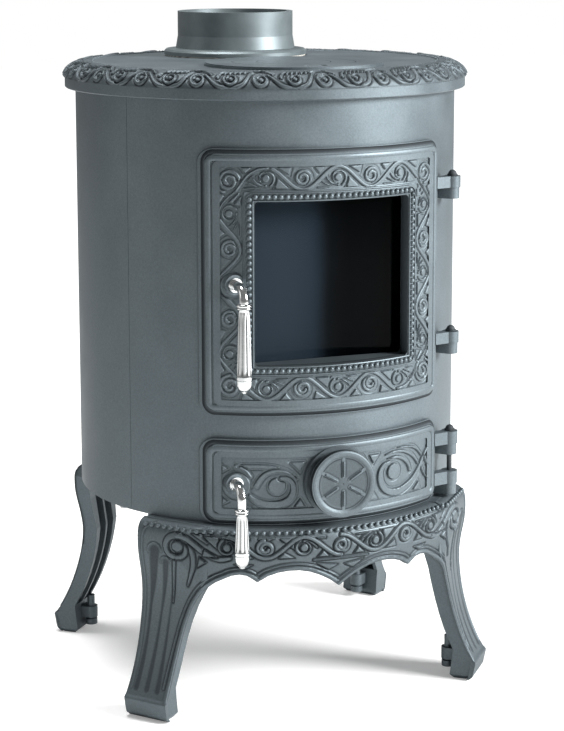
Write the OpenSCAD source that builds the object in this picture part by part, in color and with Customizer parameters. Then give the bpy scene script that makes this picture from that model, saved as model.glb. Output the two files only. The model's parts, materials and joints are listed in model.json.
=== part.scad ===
// Round cast-iron room heater on four cabriole legs.
// Frame: origin on the floor below the axis of the round body, +Z up, the doors face -Y, hinges on +X.
// Angles named *_a are degrees round the body from the front (-Y), positive towards +X.

/* [Body] */
// Outer radius of the round body
body_r = 190.5; // [180:0.5:215]
// Thickness of the cast shells
wall = 5; // [4:0.5:7]
// Height of the body's lower edge above the floor
leg_h = 192; // [175:1:230]
// Height of the body that shows between its lower edge and the top plate
body_h = 402; // [396:1:480]
// Angle from the front to the seams of the front shell
seam_a = 63.3; // [60:0.1:75]
// Gap that shows at each seam
seam_gap = 0.4; // [0.2:0.1:1]
// Thickness of the base plate
base_t = 6; // [5:0.5:9]

/* [Top plate] */
// Overhang of the moulded rim beyond the body
rim_over = 10.5; // [6:0.5:16]
// Height of the plain band of the rim
rim_band_h = 10.5; // [8:0.5:14]
// Height of the whole rim
rim_h = 25; // [22:0.5:32]
// Width of the ovolo between the hob and the plain band
ovolo_w = 26.5; // [22:0.5:32]
// Thickness of the hob
hob_t = 6; // [5:0.5:9]
// Distance between the lid and the edge of the hob
lid_edge = 6; // [4:0.5:12]
// Distance between the lid and the flue's flange
hob_gap = 12; // [8:0.5:20]
// Height of the lid above the hob
lid_proud = 3; // [2:0.5:5]

/* [Flue] */
// Outer radius of the spigot, for a 120 mm pipe
flue_r = 60; // [50:0.5:62]
// Thickness of the spigot's wall
flue_wall = 5.5; // [4:0.5:7]
// Distance between the flue's flange and the edge of the hob
flue_edge = 9.2; // [6:0.1:14]
// Height of the spigot above the hob
flue_h = 46; // [40:1:70]
// Length of the straight top of the spigot
flue_grip = 25; // [20:1:30]
// Growth of the spigot's radius from its straight top to its foot
flue_draft = 2.2; // [1:0.1:3]
// Width of the flange round the spigot
flue_flange_w = 14.3; // [12:0.1:15]
// Thickness of the flange
flue_flange_t = 5.5; // [4:0.5:8]

/* [Doors] */
// Width of both doors, measured straight across
door_w = 244; // [230:1:248]
// Height of the fire door
fire_h = 252; // [240:1:258]
// Height of the fire door's lower edge above the body's lower edge
fire_up = 105.5; // [104:0.5:110]
// Height of the ash door
ash_h = 82; // [78:1:86]
// Height of the ash door's lower edge above the body's lower edge
ash_up = 0.8; // [0.5:0.1:3]
// Radius of the doors' corners
door_corner = 13; // [8:1:18]
// Gap between the doors and the shell
door_gap = 2; // [1.5:0.1:3]
// Width and height of the window
window_w = 155; // [140:1:160]
// Width that the doors overlap the shell round the openings
overlap = 10.5; // [9:0.5:12]
// Height of the doors' hinge lugs
lug_h = 11; // [9:0.5:14]
// Distance of the hinge axis beyond the doors' edge
hinge_side = 17.1; // [16:0.1:19]
// Distance of the hinge axis outside the body
hinge_out = 13.5; // [12.5:0.1:15]
// Radius of the hinge pins
pin_r = 2.5; // [2:0.1:3.5]

/* [Handles] */
// Distance of the latch spindles to the left of the centre
latch_x = 94.8; // [93:0.1:96]
// Radius of the spindles
rod_r = 4.5; // [4:0.1:5]
// Distance from the fire door's boss to the axis of its hanging grip
fire_reach = 25.5; // [22:0.5:32]
// Distance from the ash door's boss to the axis of its hanging grip
ash_reach = 17; // [16:0.5:24]
// Length of the fire door's grip
fire_grip_l = 82; // [60:1:110]
// Length of the ash door's grip
ash_grip_l = 56; // [45:1:80]
// Radius of the grips at their upper end
grip_top_r = 5.4; // [5:0.1:6.5]
// Radius of the grips near their lower end
grip_low_r = 7.5; // [6.5:0.1:9]
// Length of the latch tongues from the spindle's axis
tongue_l = 15.5; // [14:0.1:15.8]

/* [Air wheel] */
// Radius of the air wheel
wheel_r = 32; // [28:0.5:34]
// Thickness of the air wheel at its rim
wheel_t = 6.9; // [5:0.1:9]
// Gap between the air wheel and its seat as it stands in the photograph
wheel_open = 6.6; // [5:0.1:9]
// Number of ribs on the air wheel
wheel_ribs = 6; // [4:1:8]
// Radius of the stud that the wheel turns on
stud_r = 5; // [4:0.5:6]

/* [Legs] */
// Angle of the legs from the front and from the back
leg_a = 50.5; // [49:0.5:55]
// Width of the front legs
front_leg_w = 41.5; // [38:0.5:50]
// Width of the rear legs
rear_leg_w = 42; // [36:1:48]
// Reach of the legs' knees beyond the body
knee_out = 16; // [12:0.5:24]
// Reach of the legs' waists beyond the body
waist_out = 10; // [6:0.5:14]
// Reach of the toes beyond the body
toe_out = 38; // [30:0.5:50]
// Depth of the legs' section
leg_depth = 15; // [12:0.5:18]
// Thickness of the legs' walls
leg_wall = 5; // [4:0.5:6]

/* [Inside] */
// Thickness of the hearth plate
hearth_t = 6; // [5:0.5:9]
// Height of the hearth plate above the base plate's lower face
hearth_up = 88; // [87:0.5:92]
// Radius of the grate
grate_r = 78; // [60:1:90]
// Width of the ash pan
pan_w = 196; // [160:1:200]
// Depth of the ash pan from front to back
pan_d = 250; // [220:1:256]
// Height of the ash pan
pan_h = 50; // [40:1:52]
// Thickness of the pan's sheet
sheet_t = 1.5; // [1:0.1:2.5]
// Thickness of the window glass
glass_t = 4; // [3:0.5:5]

/* [Hidden] */

$fn = 72;
bit = 0.5;       // how far a cut runs past the face it opens
clear = 0.3;     // gap between pieces that move past each other
run = 0.06;      // radial clearance of a running fit

// Colours as the photograph shows them
iron = "#4d565b";
dark_iron = "#33393d";
plated = "#c9c9c4";
steel = "#8d9194";
rope_grey = "#b9b4a6";
glass_tint = "#20262b";

// Body
body_in = body_r - wall;
body_top = leg_h + body_h;
seam_half = seam_gap / 2 / body_r * 180 / PI;
ledge_w = wall - 2.5;                 // width of the base plate's ledge that carries the shells
ledge_t = base_t / 2;
groove_depth = 9;                     // how far the shells go up into the top plate
groove_slack = 0.3;
lug_t = 10;                           // lugs inside the shells that carry the inner plates
lug_w = 9;
lug_half = 3;                         // half their width, in degrees
frame_t = wall * 2;                   // depth of the cast frames round the door openings
frame_w = 8;
strip_half = 4;                       // half width, in degrees, of the cover strips behind the seams
strip_t = 5;

// Top plate
rim_r = body_r + rim_over;
hob_z = body_top + rim_h;
hob_r = rim_r - ovolo_w;
lid_gap = 0.5;
flue_flange_r = flue_r + flue_flange_w;
lid_r = hob_r - flue_flange_r - (lid_edge + flue_edge + hob_gap) / 2;
lid_front = hob_r - lid_edge - lid_r;
flue_back = hob_r - flue_edge - flue_flange_r;
lid_seat_w = 8;
lid_seat_t = hob_t - 1.5;
lid_hole_r = lid_r - lid_seat_w;
lip_w = 6;                            // inner lip of the groove that takes the shells

// Flue
flue_in = flue_r - flue_wall;
flue_top = hob_z + flue_h;
gasket_t = 1.5;
flue_bolt_ring = (flue_r + flue_flange_r + flue_draft) / 2;
flue_bolt_count = 3;
m6_r = 3;
m8_r = 4;

// Doors: radii of their layers, from the back face to the highest moulding
door_back = body_r + door_gap;
flange_r = door_back + 2.5;
band_r = door_back + 5.5;
step_r = door_back + 6.7;
panel_r = door_back + 4.8;
edge_w = 4.5;
band_w = 5.5;
step_w = 6;
rope_r = 2.2;
rope_inset = 7.5;
rope_groove = 3;
fire_z = leg_h + fire_up;
fire_mid = fire_z + fire_h / 2;
ash_z = leg_h + ash_up;
ash_mid = ash_z + ash_h / 2;
window_corner = 4;
window_lip = 9;                       // raised lip and bead row round the window
tunnel_wall = 5;
frame_back = -(body_r - 25.5);        // flat rear face that the glass is clamped to
glass_over = 7.5;
glass_w = window_w + 2 * glass_over;
glass_frame = window_w + 2 * 21;
glass_gasket_t = 1.5;
glass_front = frame_back + glass_gasket_t;
glass_back = glass_front + glass_t;
clip_t = 2;
clip_w = 14;
clip_z = window_w * 0.35;
hinge_r = body_r + hinge_out;
hinge_x = door_w / 2 + hinge_side;
hinge_y = -sqrt(hinge_r * hinge_r - hinge_x * hinge_x);
hinge_a = asin(hinge_x / hinge_r);
eye_r = 8;
boss_h = 10.6;
lug_from_top = 48.2;
lug_from_low = 50.4;
ash_lug_from_top = 28.6;
ash_lug_from_low = 13.2;
ash_lug_h = lug_h + 1.5;
pin_end = 2;                          // how far the pins stop above the lower face of their boss
fire_lug_z = [fire_z + fire_h - lug_from_top, fire_z + lug_from_low];  // lower faces of the lugs
ash_lug_z = [ash_z + ash_h - ash_lug_from_top, ash_z + ash_lug_from_low];
arm_w = 10;
arm_l = 22;
arm_tilt = 13;
opening_w = door_w - 2 * overlap - 1;

// Handles
latch_corner_r = 11;
boss_r = 8;
boss_y = -(body_r - 12.5);            // outer face of the bosses on the doors
boss_out_r = 9.5;
keeper_y = boss_y + 32;               // rear face of the latch keepers
tongue_t = 4;
tongue_hub_t = 6;
tongue_half = 3.5;
keeper_gap = 1;
keeper_h = 12.5;
keeper_reach = 7;
nut_h = 6;
ferrule_r = 6.8;
ferrule_t = 3.2;
bend_r = 12;
collar_r = 7.4;
collar_h = 7;
grip_end_h = 5;
flutes = 10;
end_nut_h = 3;

// Air wheel
seat_front = -(body_r + 10.5);
seat_w = 10;
web_t = 4;
web_front = -body_r + 4.5;
cup_r = 27.5;                         // part of the seat that reaches back through the opening
wheel_back = seat_front - wheel_open;
wheel_front = wheel_back - wheel_t;
wheel_dish = 2.5;
wheel_rim = 3;
port_r = 5.5;
hub_r = 9;
hub_back = seat_front + 5.5;
stud_out = 2.6;
washer_t = 1.3;

// Legs: side view of a leg as radius and height, from the knee to the toe
knee_r = body_r + knee_out;
waist_r = body_r + waist_out;
toe_r = body_r + toe_out;
toe_z = 19.5;
sole_r = toe_r - 9;
sole_l = 12;
rear_out = 5;                         // how much farther out the rear legs stand
rear_lean = 9;                        // how far their knees are drawn in
knee_h = leg_h - 12;
waist_h = leg_h - 72;
apron_h = 60;                         // drop of the apron's middle point below the body
arch_h = 41;
pad_t = 6;
pad_in = 42;
leg_bolt_in = 24;
screw_boss_r = 7;
screw_boss_z = [14, 26];              // lower and upper face of the levelling screws' bosses
screw_in = 23;
screw_head_r = 6.5;
screw_head_z = 6;
screw_top = 38;
bolt_head_t = 5;
bolt_spare = 8;                       // length of the leg bolts above the base plate

// Inside
pan_lift = 6;
pan_z = leg_h + base_t + pan_lift;
pan_front = -(body_r - 60);
hearth_z = leg_h + hearth_up;
grate_seat = 3;                       // depth of the step the grate lies on
baffle_z = body_top - 46;
baffle_t = 6;
baffle_cut = 60;
rod_ring = body_r - 18.5;
rod_angles = [75, -75, 170, -170];

eps = 0.01;

// ---------- shared shapes ----------

// Cubic curve through p[0] and p[3], as a list of points
function curve(p, n = 8) = [for (i = [0 : n]) let (t = i / n, s = 1 - t)
    s * s * s * p[0] + 3 * s * s * t * p[1] + 3 * s * t * t * p[2] + t * t * t * p[3]];

// The point of the leg's plan at a radius and an angle round the body
function at(r, a) = [r * sin(a), -r * cos(a), 0];

module disc(r, z0, z1) translate([0, 0, z0]) cylinder(r = r, h = z1 - z0);

module ring(r1, r2, z0, z1) difference() {
    disc(r2, z0, z1);
    disc(r1, z0 - bit, z1 + bit);
}

// Part of a ring between two angles from the front
module arc_wall(r1, r2, z0, z1, a0, a1)
    rotate([0, 0, a0 - 90]) rotate_extrude(angle = a1 - a0)
        translate([r1, z0]) square([r2 - r1, z1 - z0]);

// Carries an outline drawn as the front view (x, z) from y0 back to y1
module forward(y0, y1) translate([0, y1, 0]) rotate([90, 0, 0]) linear_extrude(y1 - y0) children();

// A round bar along Y
module bar_y(r, y0, y1) translate([0, y1, 0]) rotate([90, 0, 0]) cylinder(r = r, h = y1 - y0);

// Rounded rectangle in the front view, centred on x = 0
module panel_outline(w, z0, z1, r) {
    translate([-w / 2 + r, z0]) square([w - 2 * r, z1 - z0]);
    translate([-w / 2, z0 + r]) square([w, z1 - z0 - 2 * r]);
    for (x = [-1, 1] * (w / 2 - r), z = [z0 + r, z1 - r]) translate([x, z]) circle(r = r);
}

// A plate bent round the body with a rounded rectangular outline
module bent_plate(r1, r2, w, z0, z1, corner) intersection() {
    ring(r1, r2, z0 - bit, z1 + bit);
    forward(-r2 - bit, -r1 / 2) panel_outline(w, z0, z1, corner);
}

// A bent plate without its middle
module bent_frame(r1, r2, w, z0, z1, corner, inner) difference() {
    bent_plate(r1, r2, w, z0, z1, corner);
    bent_plate(r1 - bit, r2 + bit, w - 2 * inner, z0 + inner, z1 - inner, max(corner - inner, 1.5));
}

module hex_nut(r, h) difference() {
    cylinder(r = r * 2 / cos(30) * 0.81, h = h, $fn = 6);
    translate([0, 0, -bit]) cylinder(r = r, h = h + 2 * bit);
}

module hex_bolt(r, l, head) {
    cylinder(r = r * 2 / cos(30) * 0.81, h = head, $fn = 6);
    translate([0, 0, head - eps]) cylinder(r = r, h = l + eps);
}

// ---------- body ----------

module pan_rails() for (x = [-1, 1] * pan_w * 0.35)
    translate([x - 3, pan_front + 6, leg_h + base_t - eps]) cube([6, pan_d - 12, pan_lift + eps]);

module base_plate() color(dark_iron) difference() {
    union() {
        disc(body_in - groove_slack, leg_h, leg_h + base_t);
        disc(body_in + ledge_w - groove_slack, leg_h, leg_h + ledge_t);
        pan_rails();
    }
    for (a = rod_angles) translate(at(rod_ring, a)) disc(m8_r + 0.5, leg_h - bit, leg_h + base_t + bit);
    for (a = leg_angles()) translate(at(body_r - leg_bolt_in, a))
        disc(m8_r + 0.5, leg_h - bit, leg_h + base_t + bit);
}

function leg_angles() = [-leg_a, leg_a, leg_a - 180, 180 - leg_a];

// One shell between two angles, with its rebate for the base plate
module shell(a0, a1) difference() {
    arc_wall(body_in, body_r, leg_h, body_top + groove_depth, a0, a1);
    disc(body_in + ledge_w, leg_h - bit, leg_h + ledge_t);
}

// Lug that carries a plate whose lower face is at z
module lug(z, a) arc_wall(body_in - lug_w, body_in + 1, z - lug_t, z, a - lug_half, a + lug_half);

// Strip cast on one shell that closes a seam from inside, between the inner plates
module cover_strip(a, side) for (z = [[leg_h + base_t + clear, hearth_z - clear],
        [hearth_z + hearth_t + clear, baffle_z - clear], [baffle_z + baffle_t + clear, body_top + 3]]) {
    arc_wall(body_in - strip_t, body_in - clear, z[0], z[1], a - strip_half, a + strip_half);
    arc_wall(body_in - strip_t, body_in + 1, z[0], z[1], min(a + side * 0.3, a + side * strip_half),
        max(a + side * 0.3, a + side * strip_half));
}

module opening(z0, z1) forward(-body_r - bit, -body_r / 2) panel_outline(opening_w, z0, z1, door_corner - 6);

module opening_frame(z0, z1) bent_frame(body_r - frame_t, body_in + eps, opening_w + 2 * frame_w,
    z0 - frame_w, z1 + frame_w, door_corner, frame_w);

// Boss on the front shell for a hinge pin, its upper face at z
module hinge_boss(z) difference() {
    translate([0, 0, z - boss_h]) linear_extrude(boss_h) union() {
        translate([hinge_x, hinge_y]) circle(r = eye_r - 1);
        rotate(hinge_a - 90) translate([body_r - 2, -eye_r + 1]) square([hinge_out + 2, 2 * eye_r - 2]);
    }
    disc(body_in + 1, z - boss_h - bit, z + bit);
}

// Block on the edge of an opening that the latch tongue turns behind, below (-1) or above (1) it
module keeper(z, side) translate([-opening_w / 2 - 3, keeper_y - 6,
    side > 0 ? z + tongue_half + keeper_gap : z - tongue_half - keeper_gap - keeper_h])
    cube([keeper_reach + 3, 6, keeper_h]);

module front_shell() color(iron) difference() {
    union() {
        difference() {
            union() {
                shell(-seam_a + seam_half, seam_a - seam_half);
                for (a = [-30, 30]) lug(hearth_z, a);
                opening_frame(fire_z + overlap + 1, fire_z + fire_h - overlap - 1);
                difference() {
                    opening_frame(ash_z + overlap + 1, ash_z + ash_h - overlap - 1);
                    disc(body_r, leg_h - bit, leg_h + base_t + clear);
                }
            }
            opening(fire_z + overlap + 1, fire_z + fire_h - overlap - 1);
            opening(ash_z + overlap + 1, ash_z + ash_h - overlap - 1);
        }
        for (z = fire_lug_z) hinge_boss(z - clear);
        for (z = ash_lug_z) hinge_boss(z - clear);
        keeper(fire_mid, -1);
        keeper(ash_mid, 1);
    }
    for (z = fire_lug_z) pin_hole(z - clear - boss_h + pin_end, z);
    pin_hole(ash_lug_z[1] - clear - boss_h + pin_end, ash_lug_z[0]);
}

module pin_hole(z0, z1) translate([hinge_x, hinge_y, 0]) disc(pin_r, z0, z1);

module left_shell() color(iron) {
    shell(-180 + seam_half, -seam_a - seam_half);
    for (a = [-155, -100], z = [hearth_z, baffle_z]) lug(z, a);
    cover_strip(-seam_a - seam_half, -1);
    cover_strip(-180 + seam_half, 1);
}

module right_shell() color(iron) {
    shell(seam_a + seam_half, 180 - seam_half);
    for (a = [100, 155], z = [hearth_z, baffle_z]) lug(z, a);
    cover_strip(seam_a + seam_half, 1);
}

// Side view of the top plate from the axis outwards
function rim_profile() = concat(
    [[0, hob_z - hob_t], [0, hob_z], [hob_r - 2, hob_z], [hob_r - 1.5, hob_z + 0.8], [hob_r, hob_z + 0.8]],
    [for (i = [0 : 8]) let (a = i * 90 / 8)
        [hob_r + ovolo_w * sin(a), body_top + rim_band_h + (rim_h - rim_band_h) * cos(a)]],
    [[rim_r, body_top + 1], [rim_r - 1, body_top], [body_r + groove_slack, body_top],
        [body_r + groove_slack, body_top + groove_depth], [body_in - groove_slack, body_top + groove_depth],
        [body_in - groove_slack, body_top + 4], [body_in - lip_w, body_top + 4],
        [body_in - lip_w, body_top + groove_depth + 3], [hob_r - 4, hob_z - hob_t]]);

module rod_boss(a) translate(at(rod_ring, a)) disc(8, hob_z - hob_t - 12, hob_z - hob_t + eps);

module top_plate() color(iron) difference() {
    union() {
        rotate_extrude() polygon(rim_profile());
        translate([0, -lid_front, 0]) disc(lid_r + 5, hob_z - hob_t - 4, hob_z - hob_t + eps);
        for (a = rod_angles) rod_boss(a);
    }
    translate([0, -lid_front, 0]) {
        disc(lid_hole_r, hob_z - hob_t - 4 - bit, hob_z + bit);
        disc(lid_r + lid_gap, hob_z - lid_seat_t, hob_z + bit);
    }
    translate([0, flue_back, 0]) disc(flue_in, hob_z - hob_t - bit, hob_z + bit);
    for (a = rod_angles) translate(at(rod_ring, a)) disc(m8_r, hob_z - hob_t - 12 - bit, hob_z - 4);
    flue_bolt_places() disc(m6_r + 0.3, hob_z - hob_t - bit, hob_z + bit);
}

module flue_bolt_places() translate([0, flue_back, 0]) for (i = [0 : flue_bolt_count - 1])
    rotate([0, 0, 90 + i * 360 / flue_bolt_count]) translate([flue_bolt_ring, 0, 0]) children();

// Side view of the flue collar from its bore outwards
function collar_profile(foot) = [[flue_in, foot], [flue_in, flue_top], [flue_r, flue_top],
    [flue_r, flue_top - flue_grip], [flue_r + flue_draft, foot + flue_flange_t + 1],
    [flue_flange_r - 2, foot + flue_flange_t], [flue_flange_r, foot + flue_flange_t - 2], [flue_flange_r, foot]];

module flue_collar() color(iron) difference() {
    translate([0, flue_back, 0]) rotate_extrude() polygon(collar_profile(hob_z + gasket_t));
    flue_bolt_places() disc(m6_r, hob_z, hob_z + gasket_t + flue_flange_t - 1.5);
}

module flue_gasket() color(rope_grey) difference() {
    translate([0, flue_back, 0]) ring(flue_in, flue_flange_r - 1, hob_z, hob_z + gasket_t);
    flue_bolt_places() disc(m6_r + 0.3, hob_z - bit, hob_z + gasket_t + bit);
}

module flue_bolts() color(steel) flue_bolt_places()
    translate([0, 0, hob_z - hob_t - 4]) hex_bolt(m6_r, hob_t + gasket_t + flue_flange_t - 2, 4);

module tie_rods() color(steel) for (a = rod_angles) translate(at(rod_ring, a))
    disc(m8_r, leg_h - 9, hob_z - 4.2);

module tie_rod_nuts() color(steel) for (a = rod_angles) translate(at(rod_ring, a))
    translate([0, 0, leg_h - 6.5]) hex_nut(m8_r, 6.5);

// ---------- legs ----------

// Front of a leg seen from the side, as radius and height from the knee to the toe, set in by inset
function knee_curve(inset) = concat(
    curve([[body_r + 5 - inset, leg_h - clear], [knee_r - inset, leg_h - 3], [knee_r - inset, knee_h],
        [knee_r - inset, knee_h - 10]], 5),
    curve([[knee_r - inset, knee_h - 10], [knee_r - inset, knee_h - 28], [waist_r - inset, waist_h + 22],
        [waist_r - inset, waist_h]], 5));
function shin_curve(inset, lean = 0) = curve([[waist_r - inset - lean, waist_h],
    [waist_r - inset - lean * 0.8, waist_h - 32], [waist_r + 10 - inset - lean * 0.2, toe_z + 26.5],
    [toe_r - inset, toe_z]], 8);

function side_view(lean) = concat(knee_curve(lean), shin_curve(0, lean),
    [[toe_r - 3.5, 3], [sole_r, 0], [sole_r - sole_l, 0], [sole_r - sole_l - 4, 4]],
    reversed([for (p = shin_curve(leg_depth, lean)) if (p[1] > toe_z + 4) p]),
    [[body_r - 9, waist_h + 34], [body_r - 9, leg_h - clear]]);

function reversed(p) = [for (i = [len(p) - 1 : -1 : 0]) p[i]];
function mirrored(p) = [for (q = reversed(p)) [-q[0], q[1]]];

// Edges of a leg seen from the front, from the sole up: plain, towards the apron, and flared at the top
function foot_edge(w) = [[w - 3, 0], [w, 4], [w, toe_z]];
function leg_edge(w) = concat(foot_edge(w), [[w, waist_h], [w + 0.3, waist_h + 22], [w + 0.8, knee_h - 16],
    [w + 0.8, knee_h], [w, leg_h - 5], [w - 3, leg_h - clear]]);
function apron_edge(w) = concat(foot_edge(w),
    curve([[w, toe_z], [w + 1, toe_z + 46], [w + 3, waist_h - 28], [w + 22, waist_h + 4]], 6),
    [[w + 32, waist_h + 22], [w + 32, leg_h - clear]]);
function flare_edge(w) = concat(foot_edge(w),
    curve([[w, toe_z], [w + 1, toe_z + 50], [w + 2, waist_h - 13], [w + 8, waist_h + 20]], 6),
    [[w + 11, knee_h - 18], [w + 12, knee_h - 2], [w + 9, leg_h - clear]]);

// Carries a side view (radius, height) from x0 to x1
module across(x0, x1) translate([x0, 0, 0]) rotate([90, 0, 90]) linear_extrude(x1 - x0)
    mirror([1, 0]) children();

// A leg at the angle 0: its side view cut to its front view, hollow behind with a middle rib;
// lean draws its knee inwards
module leg(w, outline, lean = 0) {
    difference() {
        intersection() {
            across(-2 * w, 2 * w) polygon(side_view(lean));
            forward(-toe_r - 10, -body_r / 2) polygon(outline);
        }
        for (x = [-w / 2 + 4, 2]) across(x, x + w / 2 - 6) polygon(concat(
            [for (p = concat(knee_curve(leg_wall + lean), shin_curve(leg_wall, lean)))
                if (p[1] > toe_z + 8 && p[1] < leg_h - 14) p],
            [[body_r - 30, toe_z + 12], [body_r - 30, leg_h - 14]]));
    }
    translate([0, -sole_r + screw_in, 0]) difference() {
        union() {
            disc(screw_boss_r, screw_boss_z[0], screw_boss_z[1]);
            translate([-screw_boss_r, sole_l - screw_in, screw_boss_z[0]])
                cube([2 * screw_boss_r, screw_in - sole_l, screw_boss_z[1] - screw_boss_z[0]]);
        }
        disc(m8_r, screw_boss_z[0] - bit, screw_boss_z[1] + bit);
    }
}

// Pad under the base plate, with the hole for the leg bolt
module leg_pad(w) difference() {
    translate([-w / 2, -body_r + 1, leg_h - pad_t]) cube([w, pad_in, pad_t]);
    translate([0, -body_r + leg_bolt_in, 0]) disc(m8_r + 0.5, leg_h - pad_t - bit, leg_h + bit);
}

module rear_leg() {
    translate([0, -rear_out, 0])
        leg(rear_leg_w, concat(flare_edge(rear_leg_w / 2), mirrored(flare_edge(rear_leg_w / 2))), rear_lean);
    leg_pad(rear_leg_w);
}

module rear_left_leg() color(iron) rotate([0, 0, leg_a - 180]) rear_leg();
module rear_right_leg() color(iron) rotate([0, 0, 180 - leg_a]) rear_leg();

// Lower edge of the apron for x >= 0 in the front view: two scallops and the run into the leg
function scallops() = let (low = leg_h - apron_h, top = leg_h - arch_h) concat(
    curve([[0, low], [12, low + 10], [26, top], [45, top]], 6),
    curve([[45, top], [58, top], [67, top - 4], [78, top - 11]], 5),
    curve([[78, top - 11], [82, top - 7], [87, top - 4.2], [93, top - 4]], 4),
    curve([[93, top - 4], [108, top - 4], [124, low + 1], [133, low - 28]], 6));

// Side view of the apron: it follows the front of the knees, as radius and height from the top down
function apron_face(inset) = [[body_r + 5 - inset, leg_h - clear], [knee_r - 3 - inset, leg_h - 3],
    [knee_r - inset, leg_h - 9], [knee_r - inset, knee_h - 12], [knee_r - 3 - inset, knee_h - 32],
    [waist_r - inset, waist_h + 8], [waist_r - inset, leg_h - apron_h - 28]];

module apron() intersection() {
    rotate([0, 0, -46 - 90]) rotate_extrude(angle = 92)
        polygon(concat(apron_face(0), reversed(apron_face(wall))));
    forward(-knee_r - 2, -body_r / 2) polygon(concat(mirrored(scallops()), scallops(),
        [[150, leg_h - apron_h - 28], [150, leg_h], [-150, leg_h], [-150, leg_h - apron_h - 28]]));
}

// Front leg, its knee turned to meet the apron on one side
module front_leg() {
    difference() {
        leg(front_leg_w, concat(leg_edge(front_leg_w / 2), mirrored(apron_edge(front_leg_w / 2))));
        rotate([0, 0, -11]) translate([-80, -knee_r - 30, waist_h - 30]) cube([100, 30, 130]);
    }
    leg_pad(front_leg_w);
}

module front_leg_frame() color(iron) {
    apron();
    rotate([0, 0, leg_a]) front_leg();
    mirror([1, 0, 0]) rotate([0, 0, leg_a]) front_leg();
}

module leg_bolts() color(steel) for (a = leg_angles()) translate(at(body_r - leg_bolt_in, a))
    translate([0, 0, leg_h - pad_t - bolt_head_t]) hex_bolt(m8_r, pad_t + base_t + bolt_spare, bolt_head_t);

module leg_nuts() color(steel) for (a = leg_angles()) translate(at(body_r - leg_bolt_in, a))
    translate([0, 0, leg_h + base_t]) hex_nut(m8_r, 6.5);

module levelling_screws() color(steel) for (a = leg_angles())
    translate(at(sole_r - screw_in + (abs(a) > 90 ? rear_out : 0), a)) {
        disc(screw_head_r, screw_head_z, screw_boss_z[0] - 2);
        disc(m8_r, screw_boss_z[0] - 2 - eps, screw_top);
    }

// ---------- inside ----------

module hearth_plate() color(dark_iron) difference() {
    union() {
        disc(body_in - 1, hearth_z, hearth_z + hearth_t);
        difference() {
            ring(114, 119, hearth_z + hearth_t - eps, hearth_z + hearth_t + 6);
            for (i = [0 : 11]) rotate([0, 0, i * 30 + 9])
                translate([100, -2, hearth_z + hearth_t]) cube([30, 4, 8]);
        }
    }
    disc(grate_r - 6, hearth_z - bit, hearth_z + hearth_t + bit);
    disc(grate_r + 1, hearth_z + grate_seat, hearth_z + hearth_t + bit);
    for (a = rod_angles) translate(at(rod_ring, a)) disc(m8_r + 1, hearth_z - bit, hearth_z + hearth_t + bit);
}

module grate() color(dark_iron) difference() {
    disc(grate_r, hearth_z + grate_seat, hearth_z + hearth_t + 3);
    for (i = [-4 : 4]) let (x = i * 15, half = sqrt((grate_r - 9) * (grate_r - 9) - x * x))
        translate([x - 4, -half, hearth_z]) cube([8, half - 3, 20]);
    for (i = [-4 : 4]) let (x = i * 15, half = sqrt((grate_r - 9) * (grate_r - 9) - x * x))
        translate([x - 4, 3, hearth_z]) cube([8, half - 3, 20]);
}

module baffle_plate() color(dark_iron) difference() {
    disc(body_in - 1.5, baffle_z, baffle_z + baffle_t);
    translate([-body_r, -body_r, baffle_z - bit]) cube([2 * body_r, body_r - baffle_cut, baffle_t + 2 * bit]);
    for (a = rod_angles) translate(at(rod_ring, a)) disc(m8_r + 1, baffle_z - bit, baffle_z + baffle_t + bit);
}

module ash_pan() color("#3c4145") difference() {
    translate([-pan_w / 2, pan_front, pan_z]) cube([pan_w, pan_d, pan_h]);
    translate([-pan_w / 2 + sheet_t, pan_front + sheet_t, pan_z + sheet_t])
        cube([pan_w - 2 * sheet_t, pan_d - 2 * sheet_t, pan_h]);
}

module ash_pan_handle() color(steel) translate([0, pan_front, pan_z + pan_h * 0.6]) {
    for (x = [-22, 22]) translate([x, 0, 0]) bar_y(2, -8, 0);
    translate([-24, -8, 0]) rotate([0, 90, 0]) cylinder(r = 2, h = 48);
}

// Pin with a domed head, from z0 up to the head's underside at z1
module hinge_pin(z0, z1) color(dark_iron) translate([hinge_x, hinge_y, 0]) {
    disc(pin_r, z0, z1 + eps);
    disc(pin_r + 2.6, z1, z1 + 1.4);
    translate([0, 0, z1 + 1.4]) intersection() {
        sphere(r = pin_r + 1.7);
        cylinder(r = pin_r + 3, h = pin_r + 3);
    }
}

module upper_hinge_pin() hinge_pin(fire_lug_z[0] - clear - boss_h + pin_end, fire_lug_z[0] + lug_h + clear);
module lower_hinge_pin() hinge_pin(fire_lug_z[1] - clear - boss_h + pin_end, fire_lug_z[1] + lug_h + clear);
module ash_hinge_pin() hinge_pin(ash_lug_z[1] - clear - boss_h + pin_end, ash_lug_z[0] + ash_lug_h + clear);

// ---------- doors ----------

module hinge_lug(z, h) difference() {
    translate([hinge_x, hinge_y, z]) linear_extrude(h) union() {
        circle(r = eye_r);
        rotate(arm_tilt) translate([-arm_l, -arm_w / 2]) square([arm_l, arm_w]);
    }
    disc(door_back, z - bit, z + h + bit);
}

module rope_channel(z0, h) let (in = rope_inset - rope_r - 0.2) bent_frame(door_back - bit,
    door_back + rope_groove, door_w - 2 * in, z0 + in, z0 + h - in, door_corner - 4, 2 * rope_r + 0.4);

// Stepped casting that both doors share, with the channel for the sealing rope
module door_blank(z0, h) difference() {
    union() {
        bent_plate(door_back, flange_r, door_w, z0, z0 + h, door_corner);
        bent_plate(door_back, band_r, door_w - 2 * edge_w, z0 + edge_w, z0 + h - edge_w, door_corner - 3);
        let (in = edge_w + band_w)
            bent_plate(door_back, step_r, door_w - 2 * in, z0 + in, z0 + h - in, door_corner - 6);
    }
    rope_channel(z0, h);
}

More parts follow.
